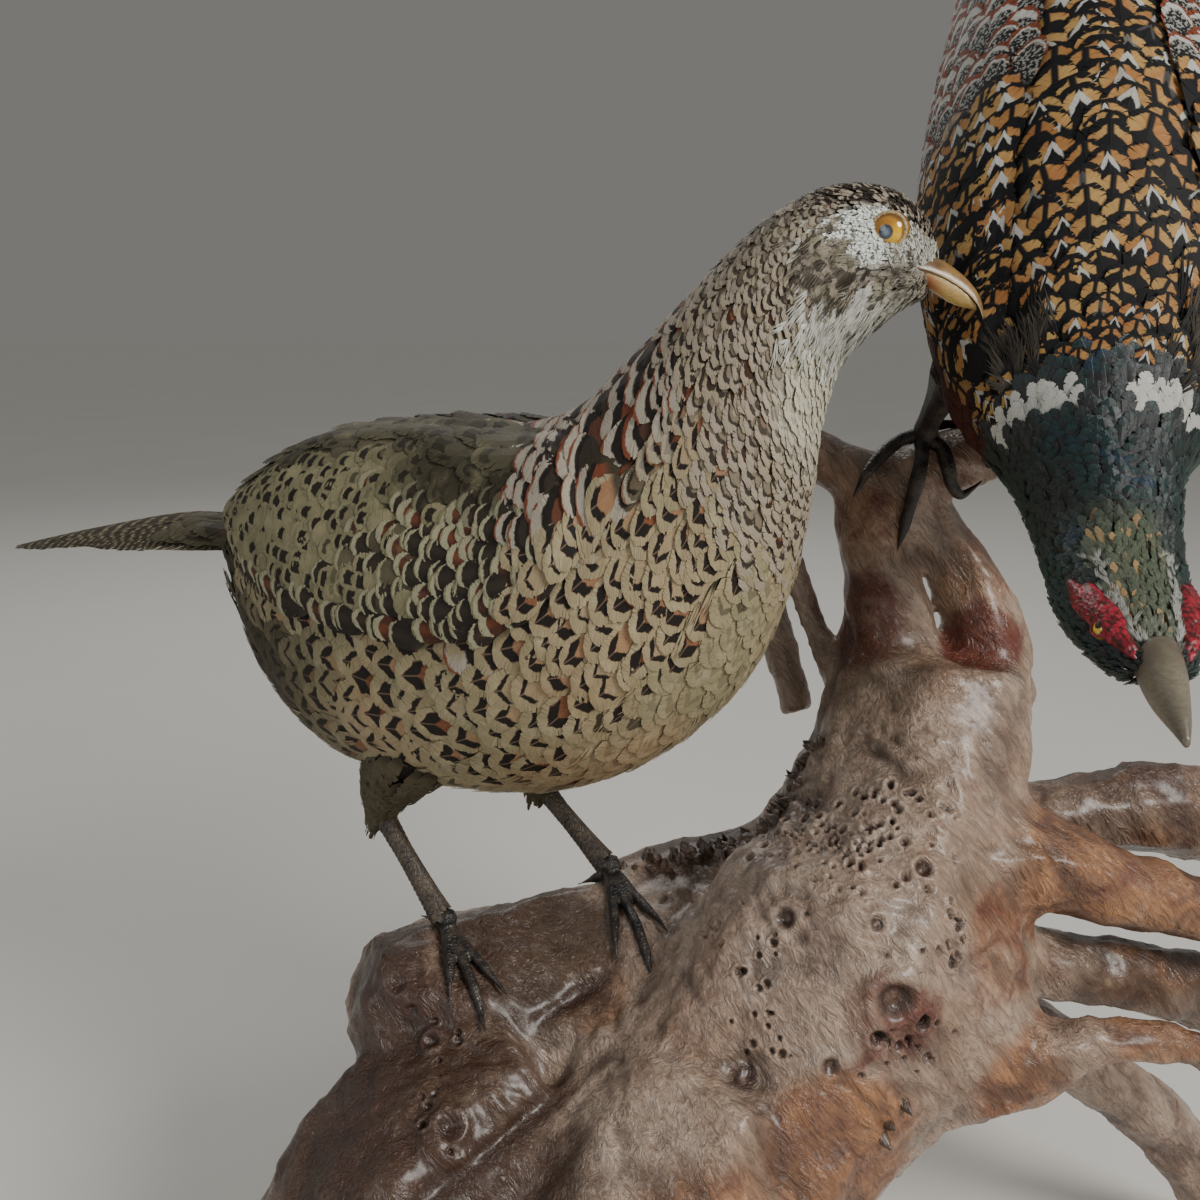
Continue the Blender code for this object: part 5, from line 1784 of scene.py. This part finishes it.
class PHEASANT_OT_hen_eyes(bpy.types.Operator):
    """The hen's glass eyes and the rims of skin round them"""

    bl_idname = "pheasant.hen_eyes"
    bl_label = "Hen's eyes"

    def execute(self, context):
        middle = (centre_of("eye_l") + centre_of("eye_r")) / 2
        for side, _ in SIDES:
            centre = centre_of(f"eye_{side}")
            axis = unit(centre - middle)
            gaze = unit(axis + np.array([-0.10, 0.0, -0.12]))
            make_eye(f"hen_eye_{side}", centre, gaze, EYE_RADIUS * CM, "hen_eye", f"eye_{side}")
            make_lid(f"hen_eyelid_{side}", centre + axis * 0.36 * CM, axis, 0.515 * CM, 0.06 * CM, "lid")
        return {"FINISHED"}


# ---- the cock


COCK_LINES = 34
COCK_NECK_LINES = 50
COCK_NECK_FROM = 7.6
COCK_ANKLE = (-4.4, 2.2, -2.6)
COCK_BILL_TIP = (17.6, 0.0, -10.4)
COCK_GRIP = (  # points along the leg and toes, with the radius there, in cm
    ("leg_r", (12.9, 46.4, 41.6, 0.85), (12.9, 47.6, 40.7, 0.62), (12.8, 48.8, 39.7, 0.46),
     (12.8, 49.5, 39.0, 0.50), (12.8, 49.7, 38.7, 0.20)),
    ("toe_inner_r", (12.7, 49.6, 39.0, 0.34), (11.9, 49.6, 38.8, 0.27), (11.2, 49.4, 38.3, 0.29),
     (10.5, 49.0, 37.6, 0.21), (10.2, 49.0, 37.0, 0.11), (10.0, 49.1, 36.6, 0.03)),
    ("toe_middle_r", (12.7, 49.5, 38.9, 0.34), (12.6, 49.0, 38.2, 0.28), (12.4, 48.7, 37.3, 0.31),
     (12.2, 48.8, 36.3, 0.25), (12.1, 49.0, 35.6, 0.24), (12.0, 49.1, 35.0, 0.13), (11.9, 49.2, 34.5, 0.03)),
    ("toe_outer_r", (12.9, 49.5, 38.9, 0.34), (13.4, 49.1, 38.5, 0.28), (13.6, 48.8, 37.8, 0.30),
     (13.8, 48.8, 37.1, 0.24), (14.2, 49.0, 36.7, 0.20), (14.7, 49.2, 36.9, 0.10), (15.1, 49.3, 37.2, 0.03)),
)
COCK_BILL = [  # s, u and half width, in cm
    (14.9, -9.1, 0.80), (15.4, -9.35, 0.76), (15.9, -9.6, 0.66), (16.5, -9.85, 0.50),
    (17.1, -10.1, 0.32), (17.6, -10.4, 0.12),
]


class PHEASANT_OT_cock_skin(bpy.types.Operator):
    """The cock's skin inside its coat, and its legs and feet"""

    bl_idname = "pheasant.cock_skin"
    bl_label = "Cock's skin"

    def execute(self, context):
        skin = remeshed(merged_copy("cock_skin", "cock_pheasant"), 0.0030, 5)
        points, normals = points_of(skin), normals_of(skin)
        p, q = stations_of(points, COCK, 14.1, 0.25, 61)
        black = ease(7.0, 7.6, p)
        maroon = ease(1.4, 3.0, p) * (1 - black) * ease(84, 98, folded(q))
        set_points(skin, points - normals * context.scene.coat_sizes.cock_depth * 0.8)
        set_marks(skin, np.column_stack([maroon, black, black * 0]))
        keep_vertices(skin, np.arange(len(p)) == np.argmin(np.abs(p - 4)), linked=True)
        from_tip = np.linalg.norm(points_of(skin) - COCK.point(*COCK_BILL_TIP), axis=1)
        keep_vertices(skin, from_tip > 2.4 * CM)
        finish_piece(skin, "cock_skin", "cock_pheasant")
        self.far_foot()
        self.near_foot()
        return {"FINISHED"}

    def far_foot(self):
        """The left shank and toes, where they grip the root."""
        feet = merged_copy("cock_foot_l", "cock_pheasant")
        points = points_of(feet)
        tree = search_tree(np.concatenate([points_of(bpy.data.objects[node]) for node in MOUNT]))
        away = np.array([tree.find(point)[2] for point in points]) / CM
        near = np.linalg.norm(points - COCK.point(*COCK_ANKLE), axis=1) / CM
        keep_vertices(feet, (near < 6.0) & ((away < 2.2) | (near < 2.8)))
        finish_piece(remeshed(feet, 0.0011, 4), "toe")

    def near_foot(self):
        """The right leg and its toes, which hang over the front of the fork."""
        for name, *rows in COCK_GRIP:
            rows = np.array(rows)
            path = np.array([wood_place(*row[:3]) for row in rows])
            finish_piece(tube(f"cock_{name}", path, rows[:, 3] * CM), "toe")


class PHEASANT_OT_cock_feathers(bpy.types.Operator):
    """The cock's body, neck, wing and tail feathers"""

    bl_idname = "pheasant.cock_feathers"
    bl_label = "Cock's feathers"

    def execute(self, context):
        self.body()
        self.neck()
        self.wings()
        self.tail()
        return {"FINISHED"}

    def body(self):
        rng = seeded("cock body")
        spacing = COCK.spacing(COCK_LINES)
        p, q = seed_lines(COCK, COCK_LINES, COCK_NECK_FROM + 0.15, -0.3, lambda p: 0.92 * spacing(p), rng)
        keep = ~under_wing(p, q, COCK_WING) | (p > 5.4)
        p, q = p[keep], q[keep]
        gap = spacing(p)
        breast = ease(88, 102, folded(q)) * ease(1.4, 3.0, p)
        small = 1 - 0.2 * ease(5.5, 7.3, p)
        grow("cock_body", "cock_body_feathers", COCK, p, q, gap * 1.75 * small, gap * 2.8 * small,
             vanes(8, LOOSE_BARBS, 0.2, 0.12), rng, 0.34, 0.03 + vary(rng, 0.03, p),
             sway(rng, 8, p), 0.035, (breast, 1 - ease(2.8, 3.8, p)))
        count = 70
        p, q = rng.normal(7.1, 0.22, count), np.radians(rng.normal(-52, 9, count))
        q[::2] *= -1
        grow("cock_soft", "cock_neck_tufts", COCK, p, q, 0.9, 1.7 * rng.uniform(0.6, 1.0, count),
             wisps(5), rng, 0.1, 0.12 + 0.1 * rng.random(count),
             sway(rng, 14, p), curl=0.1)

    def neck(self):
        """The sheened neck with its white ring, the crown, and the tufts over the eyes."""
        rng = seeded("cock neck")
        spacing = COCK.spacing(COCK_NECK_LINES)
        p, q = seed_lines(
            COCK, COCK_NECK_LINES, 13.9, COCK_NECK_FROM, lambda p: 0.95 * spacing(p), rng, 0.2
        )
        gap, turn = spacing(p), folded(q)
        middle = np.where(np.sin(q) < 0, 22.0, 8.0)  # where the ring opens over the nape, in degrees
        bowed = 7.85 - 0.2 * ease(10, 70, turn)
        ring = np.exp(-((p - bowed - 0.25) / 0.17) ** 4) * ease(middle, middle + 6, turn)
        ring = ring * (1 - ease(84, 96, turn))
        crown = ease(9.6, 10.6, p) * (1 - ease(26, 42, turn)) * (1 - ease(13.2, 13.5, p))
        width, length = gap * (1.8 - 0.7 * crown), gap * (3.0 + 1.4 * crown)
        grow("cock_head", "cock_neck_feathers", COCK, p, q, width, length,
             vanes(6, SMALL_BARBS, 0.3, 0.25), rng, 0.2, 0.02 + vary(rng, 0.03, p),
             sway(rng, 11, p), zone=(ring > rng.uniform(0.3, 0.9, len(p)), crown))
        count = 60
        for side, sign in SIDES:
            p = rng.uniform(10.6, 13.0, count)
            q = sign * np.radians(36 - 5 * (p - 10.6) + rng.normal(0, 3, count))
            grow("cock_head", f"cock_brow_{side}", COCK, p, q, 0.22, 0.5, wisps(4), rng,
                 0.06, 0.05, sway(rng, 12, p), zone=(1, 0))

    def covert_gap(self, p):
        return np.interp(p, [0, 1.5, 3, 4], [1.2, 1.2, 0.95, 0.7])

    def wings(self):
        for side, sign in SIDES:
            form = WingForm(COCK, COCK_WING, sign, COCK_WING_THICK)
            rng = seeded("cock wing", side)
            p, q = seed_lines(form, 8, 4.9, 0.5, lambda p: 0.95 * self.covert_gap(p), rng, 0.14,
                              (-1.05, 1.0))
            gap = self.covert_gap(p)
            grow("cock_body", f"cock_wing_coverts_{side}", form, p, q, gap * 1.65, gap * 2.6,
                 vanes(6, LOOSE_BARBS, 0.22, 0.12), rng, 0.28, 0.05,
                 sway(rng, 7, p), 0.03, (0, 1 - ease(2.4, 3.4, p)))

    def tail(self):
        f = np.linspace(1, 0, TAIL_PAIRS)
        sides = np.concatenate([-f, f])
        lift = 0.5 * (1 - np.abs(sides))
        grow("cock_tail", "cock_tail_feathers", COCK_TAIL, np.full(len(sides), 1.02), sides * 1.8, 2.6,
             39.5 - 24.0 * np.abs(sides) ** 0.8, vanes(5, LONG_BARBS, 0.1, 0.05),
             seeded("cock tail"), 0.15 - lift, lift * 0.5, np.radians(1.4) * sides, 0.07)


class PHEASANT_OT_cock_face(bpy.types.Operator):
    """The cock's bill, red wattles and eyes"""

    bl_idname = "pheasant.cock_face"
    bl_label = "Cock's face"

    def execute(self, context):
        for side, sign in SIDES:
            self.wattle(side, sign)
            here, _, _, out = COCK.frame(np.array(12.3), np.array(sign * math.radians(54)))
            make_eye(f"cock_eye_{side}", here - out * 0.12 * CM, out, 0.36 * CM, "cock_eye")
            make_lid(f"cock_eyelid_{side}", here + out * 0.12 * CM, out, 0.30 * CM, 0.05 * CM, "wattle")
        self.bill()
        return {"FINISHED"}

    def wattle(self, side, sign):
        """A flat beaded patch of red skin that follows the side of the head."""
        rings, sides = 22, 72
        share = np.linspace(0.02, 1.0, rings)[:, None]
        turn = np.linspace(0, math.tau, sides, endpoint=False)[None]
        ragged = 1 + 0.10 * np.sin(3 * turn + 0.8) + 0.06 * np.sin(7 * turn)
        a, b = share * np.cos(turn) * ragged, share * np.sin(turn) * ragged
        here, _, _, out = COCK.frame(12.1 + 1.25 * a, sign * np.radians(50 - 9 * a + 19 * b))
        lift = 0.30 * np.sqrt(np.maximum(1 - share ** 2, 0.0)) - 0.06 + 0 * turn
        points = (here + out * lift[..., None] * CM).reshape(-1, 3)
        points = points + out.reshape(-1, 3) * (ripple_of(points, 1300) * 0.05 * CM)[:, None]
        quads = band_quads(rings, sides)
        patch = mesh_of_quads(f"cock_wattle_{side}", points, quads if sign < 0 else quads[:, ::-1])
        finish_piece(patch, "wattle")

    def bill(self):
        t = np.linspace(0, len(COCK_BILL) - 1, 32)[:, None]
        s, u, radius = np.moveaxis(smooth_rows(COCK_BILL, t), -1, 0)
        turn = np.linspace(0, math.tau, 24, endpoint=False)[None]
        rings = COCK.point(s + 0 * turn, radius * 0.8 * np.sin(turn), u + radius * np.cos(turn))
        bill = loft("cock_bill", rings)
        reach = np.repeat(t[:, 0] / t[-1, 0], 24)
        tip, base = 0.35 * ease(0.5, 1.0, reach), 1 - ease(0.1, 0.5, reach)
        set_marks(bill, np.column_stack([tip, 0 * reach, base]))
        finish_piece(bill, "cock_bill")


# ---- the root


def fill_creases(obj, rounds):
    """Fills the sharp hollows between limbs with fillets, and leaves what bulges as it is."""
    mesh = obj.data
    edges = np.empty(len(mesh.edges) * 2, np.int32)
    mesh.edges.foreach_get("vertices", edges)
    a, b = edges.reshape(-1, 2).T
    points = points_of(obj)
    total = len(points)
    beside = np.bincount(a, minlength=total) + np.bincount(b, minlength=total)
    for i in range(rounds):
        if i % 5 == 0:
            set_points(obj, points)
            normals = normals_of(obj)
        middle = np.column_stack([
            (np.bincount(a, points[b, k], total) + np.bincount(b, points[a, k], total)) / beside
            for k in range(3)
        ])
        lift = np.sum((middle - points) * normals, axis=1)
        points += (middle - points) * np.where(lift > 0, 0.7, 0.0)[:, None]
    set_points(obj, points)


def subdivide_near(obj, places):
    """Splits the faces of a mesh that lie within reach of any place (x, y, z, reach), in metres."""
    centres = rows_of(obj.data.polygons, "center")
    near = np.zeros(len(centres), bool)
    for *place, reach in places:
        near |= np.linalg.norm(centres - np.array(place), axis=1) < reach
    edit_selected(obj, "FACE", near)
    bpy.ops.mesh.subdivide(number_cuts=1, smoothness=0.0)
    set_mode("OBJECT")


KNOTS = [  # place, radius and height, in cm
    (10.3, 39.6, 20.3, 1.15, 0.42),
    (9.8, 40.4, 22.7, 0.45, 0.16),
    (11.6, 41.4, 24.6, 0.55, 0.20),
    (12.9, 41.0, 22.3, 0.40, 0.14),
    (5.2, 39.6, 17.1, 0.75, -0.20),
    (8.1, 39.2, 17.9, 0.55, 0.16),
    (9.7, 39.4, 18.9, 0.50, 0.20),
    (11.4, 39.8, 19.2, 0.55, 0.22),
    (6.6, 41.4, 22.4, 0.65, 0.18),
    (12.0, 41.2, 21.0, 0.45, 0.16),
    (-7.8, 43.7, 18.6, 0.60, 0.16),
    (-5.3, 39.2, 15.5, 0.75, 0.20),
    (-6.6, 41.9, 17.6, 0.50, 0.18),
    (2.6, 47.0, 20.6, 0.55, 0.14),
]
# Places of small pits: middle, reach and how many.
PITTED = [
    (10.0, 43.1, 24.9, 2.9, 70),
    (7.9, 44.6, 24.2, 2.4, 46),
    (5.8, 42.2, 20.6, 1.9, 18),
    (12.4, 41.2, 21.4, 2.2, 16),
    (10.6, 39.6, 18.4, 2.0, 18),
    (5.6, 40.3, 18.6, 1.5, 10),
    (-5.9, 42.2, 17.6, 1.6, 7),
    (-5.6, 39.6, 15.2, 1.8, 7),
]
# Tones of the root: middle, reach, then shares of red stain, dark stain and orange.
TONES = [
    (-7.2, 40.5, 14.0, 7.5, 0.60, 0.80, 0.05),
    (-10.0, 37.5, 6.0, 8.5, 0.60, 0.75, 0.00),
    (-2.8, 45.5, 18.5, 4.6, 0.25, 0.85, 0.00),
    (-8.6, 45.0, 18.2, 2.8, 0.40, 0.80, 0.00),
    (-0.8, 38.8, 13.0, 3.2, 0.00, 0.75, 0.00),
    (-0.4, 44.2, 17.8, 2.2, 0.15, 0.00, 0.60),
    (1.0, 38.0, 5.0, 6.5, 0.20, 0.20, 0.60),
    (8.6, 39.0, 14.6, 3.8, 0.05, 0.00, 0.85),
    (3.5, 37.6, 12.5, 3.6, 0.20, 0.05, 0.70),
    (10.2, 39.8, 19.3, 2.4, 0.60, 0.25, 0.00),
    (14.9, 42.7, 20.6, 3.0, 0.40, 0.05, 0.55),
    (8.0, 47.5, 24.5, 3.2, 0.00, 0.50, 0.00),
    (4.3, 49.6, 20.6, 3.4, 0.00, 0.62, 0.00),
    (11.0, 45.6, 26.4, 3.4, 0.05, 0.30, 0.00),
    (10.3, 48.8, 31.6, 2.6, 0.75, 0.30, 0.00),
    (10.6, 49.2, 35.4, 2.2, 0.35, 0.10, 0.45),
    (15.4, 49.0, 30.6, 2.0, 0.95, 0.25, 0.00),
    (15.4, 49.4, 33.6, 2.2, 0.30, 0.15, 0.50),
    (14.6, 50.5, 37.8, 3.0, 0.45, 0.25, 0.20),
    (7.8, 51.8, 34.5, 4.6, 0.40, 0.30, 0.20),
    (18.4, 45.2, 22.4, 3.8, 0.30, 0.05, 0.85),
    (24.0, 46.4, 20.4, 4.6, 0.20, 0.05, 0.90),
    (22.0, 50.8, 22.6, 5.6, 0.35, 0.55, 0.00),
    (22.0, 47.2, 17.2, 5.6, 0.05, 0.62, 0.00),
    (15.6, 42.6, 15.6, 2.8, 0.10, 0.05, 0.90),
    (22.0, 43.0, 16.6, 4.4, 0.30, 0.15, 0.65),
    (25.0, 49.8, 8.5, 6.5, 0.30, 0.40, 0.10),
]
LEDGE = ((1.6, 49.4, 20.6), (4.3, 49.4, 21.6), (6.6, 47.6, 23.2), (8.8, 48.4, 26.2))
THORNS = ((10.3, 39.4, 15.5), (10.9, 39.6, 16.1), (10.0, 39.3, 15.0))
WART_RINGS = ((-0.35, 1.3), (0.15, 1.0), (0.6, 0.55), (1.0, 0.06))  # share of the height, of the radius
CRACKS = (  # both ends and width, in cm
    ((-6.4, 37.6, 13.4), (-1.6, 40.9, 15.6), 0.34),
    ((-2.3, 43.3, 17.1), (0.4, 45.0, 18.3), 0.30),
    ((4.9, 39.9, 18.6), (5.3, 39.6, 17.3), 0.16),
)
FLAT_FEET = 0.004  # height, in metres, up to which the root keeps its cut feet flat


def warts_on(root, rng):
    """Small thorny warts along the ledge of a root, and three thorns low on its front."""
    points, normals = points_of(root), normals_of(root)
    rows = []
    for t in np.sort(rng.uniform(0, len(LEDGE) - 1, 110)):
        i = min(int(t), len(LEDGE) - 2)
        here = (1 - t + i) * np.array(LEDGE[i]) + (t - i) * np.array(LEDGE[i + 1])
        rows.append((here + rng.normal(0, 0.42, 3), rng.uniform(0.10, 0.26), rng.uniform(0.15, 0.5)))
    rows += [(thorn, 0.20, 0.45) for thorn in THORNS]
    sides = 6
    turn = np.linspace(0, math.tau, sides, endpoint=False)
    verts, quads = [], []
    for spot, radius, height in rows:
        i = np.argmin(np.linalg.norm(points - wood_place(*spot), axis=1))
        up = unit(normals[i] + rng.normal(0, 0.25, 3))
        side = unit(np.cross(up, [0.3, 0.8, 0.5]))
        ring = np.cos(turn)[:, None] * side + np.sin(turn)[:, None] * np.cross(up, side)
        quads.append(band_quads(len(WART_RINGS), sides) + len(verts))
        for level, wide in WART_RINGS:
            verts.extend(points[i] + (ring * radius * wide + up * height * level) * CM)
    warts = mesh_of_quads("root_warts", np.array(verts), np.concatenate(quads))
    set_marks(warts, np.tile([0.0, 0.1, 0.7], (len(verts), 1)))
    set_marks(warts, np.zeros((len(verts), 3)), "Tint")
    finish_piece(warts, "root")


class PHEASANT_OT_root(bpy.types.Operator):
    """The varnished root that both birds stand on, worked with knots, pits, ripples and cracks"""

    bl_idname = "pheasant.root"
    bl_label = "Root"

    def execute(self, context):
        root = remeshed(merged_copy("varnished_root", *MOUNT), context.scene.root_finish.voxel, 8)
        fill_creases(root, 26)
        burl = [(*wood_place(9.6, 41.5, 21.4), 0.085), (*wood_place(-5.8, 41.5, 16.4), 0.035)]
        subdivide_near(root, burl)
        subdivide_near(root, [(*wood_place(*row[:3]), row[3] * CM * 0.85) for row in PITTED])
        rng = seeded("root")
        points, normals = points_of(root), normals_of(root)
        lift = self.waves(points)
        # The pit share holds the dark of knots and pits, and the painted shade in the cracks.
        pit = self.knots(points, lift) + self.pits(points, lift, rng) + self.cracks(points, lift)
        moved = points + normals * (lift * CM)[:, None]
        floor = points[:, 2] < FLAT_FEET
        moved[floor, 2] = points[floor, 2]
        moved[:, 2] = np.maximum(moved[:, 2], 0.0)
        set_points(root, moved)
        tones = np.zeros((len(points), 3))
        for *place, reach, red, dark, orange in TONES:
            away = np.linalg.norm(points - wood_place(*place), axis=1) / (reach * CM)
            share = 1 - ease(0.55, 1.15, away)
            tones = np.maximum(tones, share[:, None] * np.array([red, dark, orange]))
        set_marks(root, np.column_stack([np.clip(pit, 0, 1), tones[:, 0], tones[:, 1]]))
        # Tint also carries the lift, so that the material paints shade into the hollows.
        set_marks(root, np.column_stack([tones[:, 2], lift, lift * 0]), "Tint")
        finish_piece(root, "root", *MOUNT)
        warts_on(root, rng)
        return {"FINISHED"}

    def waves(self, points):
        """Broad lumps, and ripples that run down the wood, in cm."""
        lift = np.empty(len(points))
        for i, point in enumerate(points):
            p = Vector(point) / CM
            run = Vector((p.x * 0.79 + p.z * 0.62, p.y, (p.z * 0.79 - p.x * 0.62) * 0.3))
            lump = noise.noise(p * 0.5 + Vector((7, 3, 1)))
            swirl = noise.noise(p * 0.35) * 1.6
            ripple = noise.noise(run * 1.25 + Vector((swirl, swirl, 0)))
            fine = noise.noise(run * 2.6 + Vector((swirl, 5, swirl)))
            lift[i] = 0.16 * lump + 0.17 * ripple + 0.085 * fine
        return np.clip(lift, -0.3, 0.3)

    def knots(self, points, lift):
        """Raises the ring of each knot and sinks its middle. Gives how dark each point is."""
        dark = np.zeros(len(points))
        for *place, radius, height in KNOTS:
            centre = points[np.argmin(np.linalg.norm(points - wood_place(*place), axis=1))]
            away = np.linalg.norm(points - centre, axis=1) / (radius * CM)
            ring = np.exp(-((away - 0.75) / 0.32) ** 2)
            lift += 0.8 * height * ring - abs(height) * 0.9 * np.exp(-(away / 0.42) ** 2)
            button = np.exp(-(away / 0.2) ** 2) * (radius > 1)
            lift += 0.28 * button
            dark += 0.65 * np.exp(-((away - 0.35) / 0.28) ** 2) * (1 - button) + 0.2 * ring
        return dark

    def pits(self, points, lift, rng):
        """Sinks many small round pits. Gives how dark each point is."""
        dark = np.zeros(len(points))
        tree = search_tree(points)
        for *place, reach, count in PITTED:
            for spot in wood_place(*place) + rng.normal(0, reach * 0.45 * CM, (count, 3)):
                centre, _, _ = tree.find(spot)
                radius = rng.uniform(0.08, 0.18)
                for _, i, away in tree.find_range(centre, 2.2 * radius * CM):
                    t = away / (radius * CM)
                    lift[i] += -0.16 * math.exp(-t ** 4) + 0.07 * math.exp(-((t - 1.5) / 0.35) ** 2)
                    dark[i] = max(dark[i], 0.7 * math.exp(-(t / 0.8) ** 4))
        return dark

    def cracks(self, points, lift):
        """Opens the long cracks between the root's lobes. Gives how dark each point is, as painted shade
        inside the cracks.
        """
        dark = np.zeros(len(points))
        for *ends, wide in CRACKS:
            a, b = (wood_place(*end) for end in ends)
            t = np.clip((points - a) @ (b - a) / ((b - a) @ (b - a)), 0, 1)
            gap = np.linalg.norm(points - a - t[:, None] * (b - a), axis=1) / (wide * CM)
            cut = np.exp(-gap ** 2) * (0.4 + 0.6 * np.sin(math.pi * t))
            lift -= 0.45 * cut
            # Painted shade, as deep as the crack is cut.
            dark += cut
        return dark


# ---- the stage


class PHEASANT_OT_materials(bpy.types.Operator):
    """Makes every finish: plumage, horn, glass, scales and varnished wood"""

    bl_idname = "pheasant.materials"
    bl_label = "Finishes"

    def execute(self, context):
        GROUPS["vane"] = vane_group()
        GROUPS["crescent"] = crescent_group()
        for finish, (_, name, build, roughness, bump, sockets) in FINISHES.items():
            if finish == "root":
                sockets = {**sockets, "Coat Weight": context.scene.root_finish.coat}
            MATERIALS[finish] = new_material(name, build, roughness, bump, sockets)
        return {"FINISHED"}


SENSOR = 36.0  # width of the film in mm
LIGHTS = (  # name, place, width, power and colour
    ("key_light", (1.25, -1.35, 1.35), 0.8, 38.0, (1.0, 0.98, 0.94)),
    ("fill_light", (-1.6, -1.3, 0.9), 1.2, 7.0, (0.94, 0.97, 1.0)),
    ("back_light", (-0.4, 1.5, 1.8), 1.0, 12.0, (1.0, 0.98, 0.95)),
)
LIGHTS_AIM = (0.0, -0.05, 0.40)


class PHEASANT_OT_stage(bpy.types.Operator):
    """Pale floor, soft lights and the camera"""

    bl_idname = "pheasant.stage"
    bl_label = "Stage"

    def execute(self, context):
        sizes = context.scene.stage_sizes
        bpy.ops.object.select_all(action="DESELECT")
        bpy.ops.mesh.primitive_plane_add(size=sizes.floor, location=(0, 0, -0.0005))
        floor = bpy.context.object
        floor.name = floor.data.name = "studio_floor"
        bpy.ops.object.transform_apply(location=True, rotation=True, scale=True)
        floor.data.materials.append(MATERIALS["floor"])
        for name, place, width, power, colour in LIGHTS:
            data = bpy.data.lights.new(name, "AREA")
            data.shape, data.size, data.energy, data.color = "DISK", width, power, colour
            light = self.placed(name, data, place)
            light.rotation_euler = (Vector(LIGHTS_AIM) - Vector(place)).to_track_quat("-Z", "Y").to_euler()
        self.air(context.scene, shade(121, 119, 116))
        data = bpy.data.cameras.new("studio_camera")
        data.lens, data.sensor_width = sizes.lens, SENSOR
        camera = self.placed("studio_camera", data, (SHIFT[0], SHIFT[1], sizes.camera_height))
        camera.rotation_euler = (math.pi / 2 - sizes.camera_fall, 0.0, 0.0)
        context.scene.camera = camera
        return {"FINISHED"}

    def placed(self, name, data, place):
        obj = bpy.data.objects.new(name, data)
        bpy.context.scene.collection.objects.link(obj)
        obj.location = place
        return obj

    def air(self, scene, seen):
        """An even pale sky. The camera sees it in the tone of the far floor, so no horizon shows."""
        world = bpy.data.worlds.new("studio_air")
        world.use_nodes = True
        n = Nodes(world.node_tree)
        sky = world.node_tree.nodes["Background"]
        n.put(sky.inputs["Color"], shade(206, 206, 202))
        n.put(sky.inputs["Strength"], 0.42)
        backdrop = n.add("Background", {"Color": seen, "Strength": 1.0}).outputs[0]
        seen_directly = n.add("LightPath").outputs["Is Camera Ray"]
        both = n.add("MixShader", {0: seen_directly, 1: sky.outputs[0], 2: backdrop}).outputs[0]
        n.put(world.node_tree.nodes["World Output"].inputs["Surface"], both)
        scene.world = world


STEPS = (
    PHEASANT_OT_materials,
    PHEASANT_OT_stage,
    PHEASANT_OT_root,
    PHEASANT_OT_hen_skin,
    PHEASANT_OT_hen_body_feathers,
    PHEASANT_OT_hen_neck_feathers,
    PHEASANT_OT_hen_head_feathers,
    PHEASANT_OT_hen_wing_feathers,
    PHEASANT_OT_hen_tail_feathers,
    PHEASANT_OT_hen_legs,
    PHEASANT_OT_hen_bill,
    PHEASANT_OT_hen_eyes,
    PHEASANT_OT_cock_skin,
    PHEASANT_OT_cock_feathers,
    PHEASANT_OT_cock_face,
)
SETTINGS = {
    "hen_colours": HenColours,
    "cock_colours": CockColours,
    "root_finish": RootFinish,
    "coat_sizes": CoatSizes,
    "stage_sizes": StageSizes,
}


class PHEASANT_PT_panel(bpy.types.Panel):
    """Lists every step of the mount, and the colours and sizes that steer them"""

    bl_label = "Mounted pheasant pair"
    bl_idname = "PHEASANT_PT_panel"
    bl_space_type = "VIEW_3D"
    bl_region_type = "UI"
    bl_category = "Pheasants"

    def draw(self, context):
        for step in STEPS:
            self.layout.operator(step.bl_idname)
        for name in SETTINGS:
            box = self.layout.box()
            settings = getattr(context.scene, name)
            for key in settings.__annotations__:
                box.prop(settings, key)


def register():
    for name, group in SETTINGS.items():
        bpy.utils.register_class(group)
        setattr(bpy.types.Scene, name, bpy.props.PointerProperty(type=group))
    for step in STEPS:
        bpy.utils.register_class(step)
    bpy.utils.register_class(PHEASANT_PT_panel)


def unregister():
    bpy.utils.unregister_class(PHEASANT_PT_panel)
    for step in reversed(STEPS):
        bpy.utils.unregister_class(step)
    for name, group in SETTINGS.items():
        delattr(bpy.types.Scene, name)
        bpy.utils.unregister_class(group)


def main():
    register()
    for step in STEPS:
        group, name = step.bl_idname.split(".")
        getattr(getattr(bpy.ops, group), name)()


if __name__ == "__main__":
    main()
